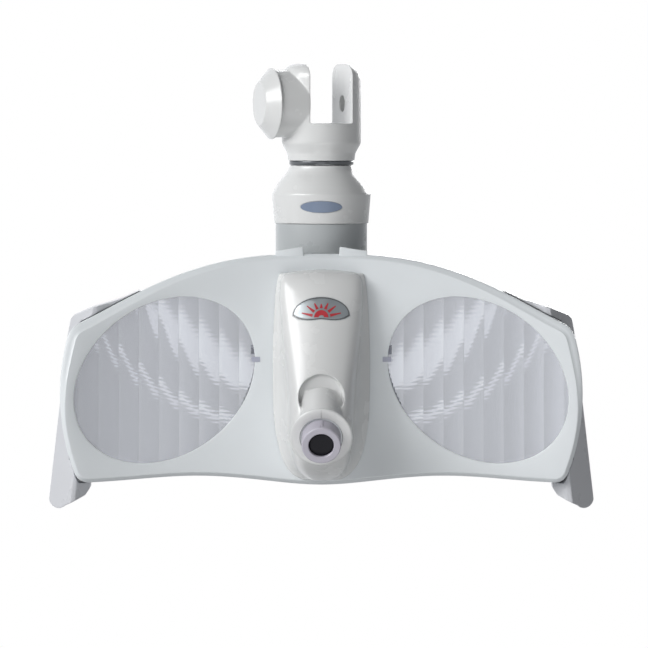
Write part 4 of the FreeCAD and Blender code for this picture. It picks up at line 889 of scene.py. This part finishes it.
def nose_badge(nose):
    """The grey nameplate, ringed by a dark band of painted shade and a pale band of painted highlight, with a
    plain rising-sun mark in red.
    """
    depth = on_nose(nose)
    # A pale band of painted highlight and a dark band of painted shade round the plate.
    draped_plate("badge_seat", badge_outline(1.7), depth, 0.25, 0.6, "badge_edge", ())
    draped_plate("badge_rim", badge_outline(0.9), depth, 0.55, 0.5, "badge_rim", ())
    draped_plate("badge_plate", badge_outline(-0.3), depth, 0.75, 0.3, "nameplate",
                 ("nose_badge",))
    low, radius = -212.6, 7.2
    shapes = [[(radius * math.cos(t), low + radius * math.sin(t)) for t in np.linspace(0, math.pi, 20)]]
    for degrees in (12, 38, 64, 90, 116, 142, 168):
        angle = math.radians(degrees)
        along = np.array([math.cos(angle), math.sin(angle)])
        across = np.array([-math.sin(angle), math.cos(angle)])
        start, length = np.array([0, low]) + along * 9.0, 4.2 + 7.0 * abs(math.cos(angle)) ** 1.4
        shapes.append([start - across * 1.5, start + along * length - across * 0.5,
                       start + along * length + across * 0.5, start + across * 1.5])
    verts, faces = [], []
    for shape in shapes:
        first, n = len(verts), len(shape)
        verts += [(x, depth(x, z) - 1.05, z) for x, z in shape]
        verts += [(x, depth(x, z) - 0.7, z) for x, z in shape]
        faces.append(tuple(range(first, first + n)))
        faces.append(tuple(range(first + 2 * n - 1, first + n - 1, -1)))
        faces += ring_faces(2, n, first)
    obj = piece("sun_mark", verts, faces, "head", MATS["mark_red"], ("badge_mark",),
                smooth=False)
    tidy(obj)


# ---------------------------------------------------------------- smaller pieces

SOFT_SHELLS = [
    # node, body, slot, voxel in millimetres, smoothing passes, share of faces kept
    ("knuckle_housing", "knuckle", "gloss_white", 0.7, 6, 0.6),
    ("knuckle_cap", "knuckle", "gloss_white", 0.6, 5, 1.0),
    ("neck_bell", "neck", "gloss_white", 0.7, 5, 0.6),
    ("hub_cover", "head", "gloss_white", 1.0, 5, 0.6),
    ("rear_cover_right", "head", "panel_white", 1.1, 5, 0.5),
    ("rear_cover_left", "head", "panel_white", 1.1, 5, 0.5),
    ("handle_right", "handle_right", "handle_white", 0.8, 6, 0.5),
    ("handle_left", "handle_left", "handle_white", 0.8, 6, 0.5),
]
BUTTON_BORE, BUTTON_X, BUTTON_Y, BUTTON_Z = [(0, -20), (6.3, -20), (6.3, 5), (0, 5)], 240, -32, -284


def soft_shells():
    """Moulded copies, with rounded edges, of the shells that show most."""
    for node_name, body, slot, voxel, passes, keep in SOFT_SHELLS:
        shell = softened(node_name, node_name + "_moulding", body, MATS[slot], voxel, passes, keep)
        if node_name.startswith("handle"):
            side = 1 if node_name.endswith("right") else -1
            bore = raw_lathe("bore", BUTTON_BORE, (side * BUTTON_X, BUTTON_Y, BUTTON_Z), (0, 1, 0), 48)
            combine(shell, bore, "DIFFERENCE")
            dress(shell, body, MATS[slot], (node_name,))


def camera_glass():
    """The dark domed glass that closes the camera's front ring."""
    # radius, height in front of the snout's face
    profile = [(0, 14.1), (12.35, 14.1), (12.35, 14.9), (12.0, 15.2), (10.5, 15.5), (8.0, 15.8), (4.5, 16.0),
               (0, 16.1)]
    obj = raw_lathe("camera_glass", profile, SNOUT_FACE, SNOUT_OUT, 64)
    dress(obj, "camera", MATS["lens_dark"])


def collar_tab(side, name):
    """A wedge beside the neck that carries the panel's top edge round the sleeve."""
    outline = [(17.5, -156), (18.5, -143.2), (46, -147.5), (46, -156)]
    verts = [(side * x, y, z) for y in (-64.3, -60.3) for x, z in outline]
    faces = [(0, 1, 2, 3), (7, 6, 5, 4)] + ring_faces(2, 4)
    obj = piece("collar_tab_" + name, verts, faces, "head", MATS["panel_white"])
    tidy(obj)
    add_modifier(obj, "BEVEL", width=0.8 * MM, segments=3)
    settle(obj)
    dress(obj, "head", MATS["panel_white"])


# ---------------------------------------------------------------- studio

FLOOR_R, FLOOR_Z = 6.0, -4.0  # metres
LIGHT_AIM, WORLD_LEVEL = (0.0, -0.1, -0.22), 0.135
LIGHTS = [
    # name, place in metres, width, height, power in watts
    ("key", (-2.6, -1.75, 1.15), 1.9, 1.9, 74),
    ("near_key", (-1.7, -2.6, 0.9), 1.6, 1.6, 20),
    ("front", (-0.2, -3.2, -0.2), 1.8, 1.4, 2),
    ("fill", (1.1, -2.6, -1.5), 1.8, 1.4, 5),
    ("rear", (1.1, 3.0, 0.9), 2.2, 1.8, 62),
    ("low", (0.2, -2.0, -2.2), 2.4, 1.6, 19),
]
# what shiny surfaces pick up: the level, its rise away from the middle, and the change far out on each side
MIRROR_LEVEL, MIRROR_FADE, FADE_LIMIT = 0.53, 0.38, 0.5
RIGHT_LOSS, LEFT_GAIN, SIDE_START, SIDE_END = 0.14, 0.55, 0.6, 1.5
MIRROR_BANDS = [
    # lower limit's slopes, its place and softness, upper limit's slopes, its place and softness, added light
    ((1.4, 0.0), -0.32, 0.22, (0.0, 2.3), 0.12, 0.01, 0.36),
    ((0.0, 1.2), 0.43, 0.02, (0.0, 1.2), 0.55, 0.02, 0.34),
]
VIEW_TARGET, VIEW_DISTANCE, VIEW_LIFT = Vector((0.0027, -0.085, -0.220)), 7.0, math.radians(2.0)
VIEW_WIDTH, SENSOR = 0.648, 36  # metres seen across the picture at the target, millimetres of sensor


def studio():
    """A white floor below the light, the softboxes round it, and the camera."""
    lay_floor()
    scene = bpy.context.scene
    scene.world = surroundings()
    for light in LIGHTS:
        spare_mirrors(softbox(*light))
    scene.view_settings.view_transform = "Standard"
    scene.view_settings.look = "None"

    camera = bpy.data.cameras.new("camera")
    view = new_object("camera", camera)
    away = Vector((0, -math.cos(VIEW_LIFT), math.sin(VIEW_LIFT)))
    view.location = VIEW_TARGET + away * VIEW_DISTANCE
    view.rotation_euler = (-away).to_track_quat("-Z", "Y").to_euler()
    camera.sensor_width = SENSOR
    camera.lens = SENSOR * VIEW_DISTANCE / VIEW_WIDTH
    camera.clip_end = 30
    scene.camera = view


def lay_floor():
    """A glowing white disc well below the light, which only the camera sees."""
    white = bpy.data.materials.new("seamless white")
    white.use_nodes = True
    tree = white.node_tree
    tree.nodes.clear()
    out = tree.nodes.new("ShaderNodeOutputMaterial")
    glow = tree.nodes.new("ShaderNodeEmission")
    glow.inputs["Color"].default_value = (1, 1, 1, 1)
    glow.inputs["Strength"].default_value = 1.0
    tree.links.new(glow.outputs["Emission"], out.inputs["Surface"])
    mesh = bpy.data.meshes.new("floor")
    turns = np.linspace(0, 2 * math.pi, 97)[:-1]
    mesh.from_pydata([(FLOOR_R * math.cos(a), FLOOR_R * math.sin(a), FLOOR_Z) for a in turns], [],
                     [tuple(range(96))])
    mesh.materials.append(white)
    floor = new_object("floor", mesh)
    for reach in ("visible_diffuse", "visible_glossy", "visible_transmission", "visible_shadow"):
        setattr(floor, reach, False)


def softbox(name, place, width, height, power):
    """A white rectangular area light at a place, aimed at the object."""
    data = bpy.data.lights.new(name, "AREA")
    data.shape, data.size, data.size_y, data.energy = "RECTANGLE", width, height, power
    lamp = new_object(name, data)
    lamp.location = place
    lamp.rotation_euler = (Vector(LIGHT_AIM) - Vector(place)).to_track_quat("-Z", "Y").to_euler()
    return lamp


def spare_mirrors(lamp):
    """Keeps a softbox's glare off the mirror bowls, which see only the studio's surroundings."""
    group = bpy.data.collections.new("no_glare_" + lamp.name)
    lamp.light_linking.receiver_collection = group
    for obj in bpy.data.objects:
        if obj.name.startswith("reflector_facets"):
            group.objects.link(obj)
    for entry in group.collection_objects:
        entry.light_linking.link_state = "EXCLUDE"


def surroundings():
    """A dim even studio, with brighter bands that only shiny surfaces pick up."""
    world = bpy.data.worlds.new("studio")
    world.use_nodes = True
    tree = world.node_tree
    tree.nodes.clear()
    out = tree.nodes.new("ShaderNodeOutputWorld")
    add = tree.nodes.new

    def sum_of(a, b):
        """One output or number plus another."""
        return calc(tree, "ADD", a, b)

    def times(a, b):
        """One output or number times another."""
        return calc(tree, "MULTIPLY", a, b)

    def step(value, low, high):
        """A soft step from 0 at low to 1 at high."""
        made = add("ShaderNodeMapRange")
        made.interpolation_type = "SMOOTHSTEP"
        tree.links.new(value, made.inputs["Value"])
        made.inputs["From Min"].default_value, made.inputs["From Max"].default_value = low, high
        return made.outputs["Result"]

    where = add("ShaderNodeTexCoord")
    split = add("ShaderNodeSeparateXYZ")
    tree.links.new(where.outputs["Generated"], split.inputs["Vector"])
    x, y, z = split.outputs
    # the direction that a ray leaves in, laid flat about the viewer's side: to the right, and up
    facing = calc(tree, "SUBTRACT", 1.0, y)
    rightward = times(calc(tree, "DIVIDE", x, facing), 2.0)
    across = calc(tree, "ABSOLUTE", rightward)
    rise = times(calc(tree, "DIVIDE", z, facing), 2.0)
    squared = times(across, across)

    def bent(straight, curved):
        """Height over a line that sinks away from the middle, straight and curved."""
        return sum_of(rise, sum_of(times(across, straight), times(squared, curved)))

    glow = sum_of(MIRROR_LEVEL, times(calc(tree, "MINIMUM", across, FADE_LIMIT), MIRROR_FADE))
    glow = calc(tree, "SUBTRACT", glow, times(step(rightward, SIDE_START, SIDE_END), RIGHT_LOSS))
    glow = sum_of(glow, times(step(rightward, -SIDE_START, -SIDE_END), LEFT_GAIN))
    for low_line, low_edge, low_soft, high_line, high_edge, high_soft, gain in MIRROR_BANDS:
        band = times(step(bent(*low_line), low_edge, low_edge + low_soft),
                     step(bent(*high_line), high_edge, high_edge - high_soft))
        glow = sum_of(glow, times(band, gain))
    ray = add("ShaderNodeLightPath")
    mixed = add("ShaderNodeMix")
    mixed.data_type = "FLOAT"
    tree.links.new(ray.outputs["Is Glossy Ray"], mixed.inputs[0])
    mixed.inputs[2].default_value = WORLD_LEVEL
    tree.links.new(glow, mixed.inputs[3])
    back = add("ShaderNodeBackground")
    back.inputs["Color"].default_value = (0.95, 0.97, 1.0, 1)
    tree.links.new(mixed.outputs[0], back.inputs["Strength"])
    white = add("ShaderNodeBackground")
    white.inputs["Color"].default_value = (1, 1, 1, 1)
    shown = add("ShaderNodeMixShader")
    tree.links.new(ray.outputs["Is Camera Ray"], shown.inputs[0])
    tree.links.new(back.outputs["Background"], shown.inputs[1])
    tree.links.new(white.outputs["Background"], shown.inputs[2])
    tree.links.new(shown.outputs["Shader"], out.inputs["Surface"])
    return world


# ---------------------------------------------------------------- build

finish_nodes()
front_panel()
reflector(1, "right")
reflector(-1, "left")
nose = nose_cover()
nose_badge(nose)
soft_shells()
camera_glass()
collar_tab(1, "right")
collar_tab(-1, "left")
studio()
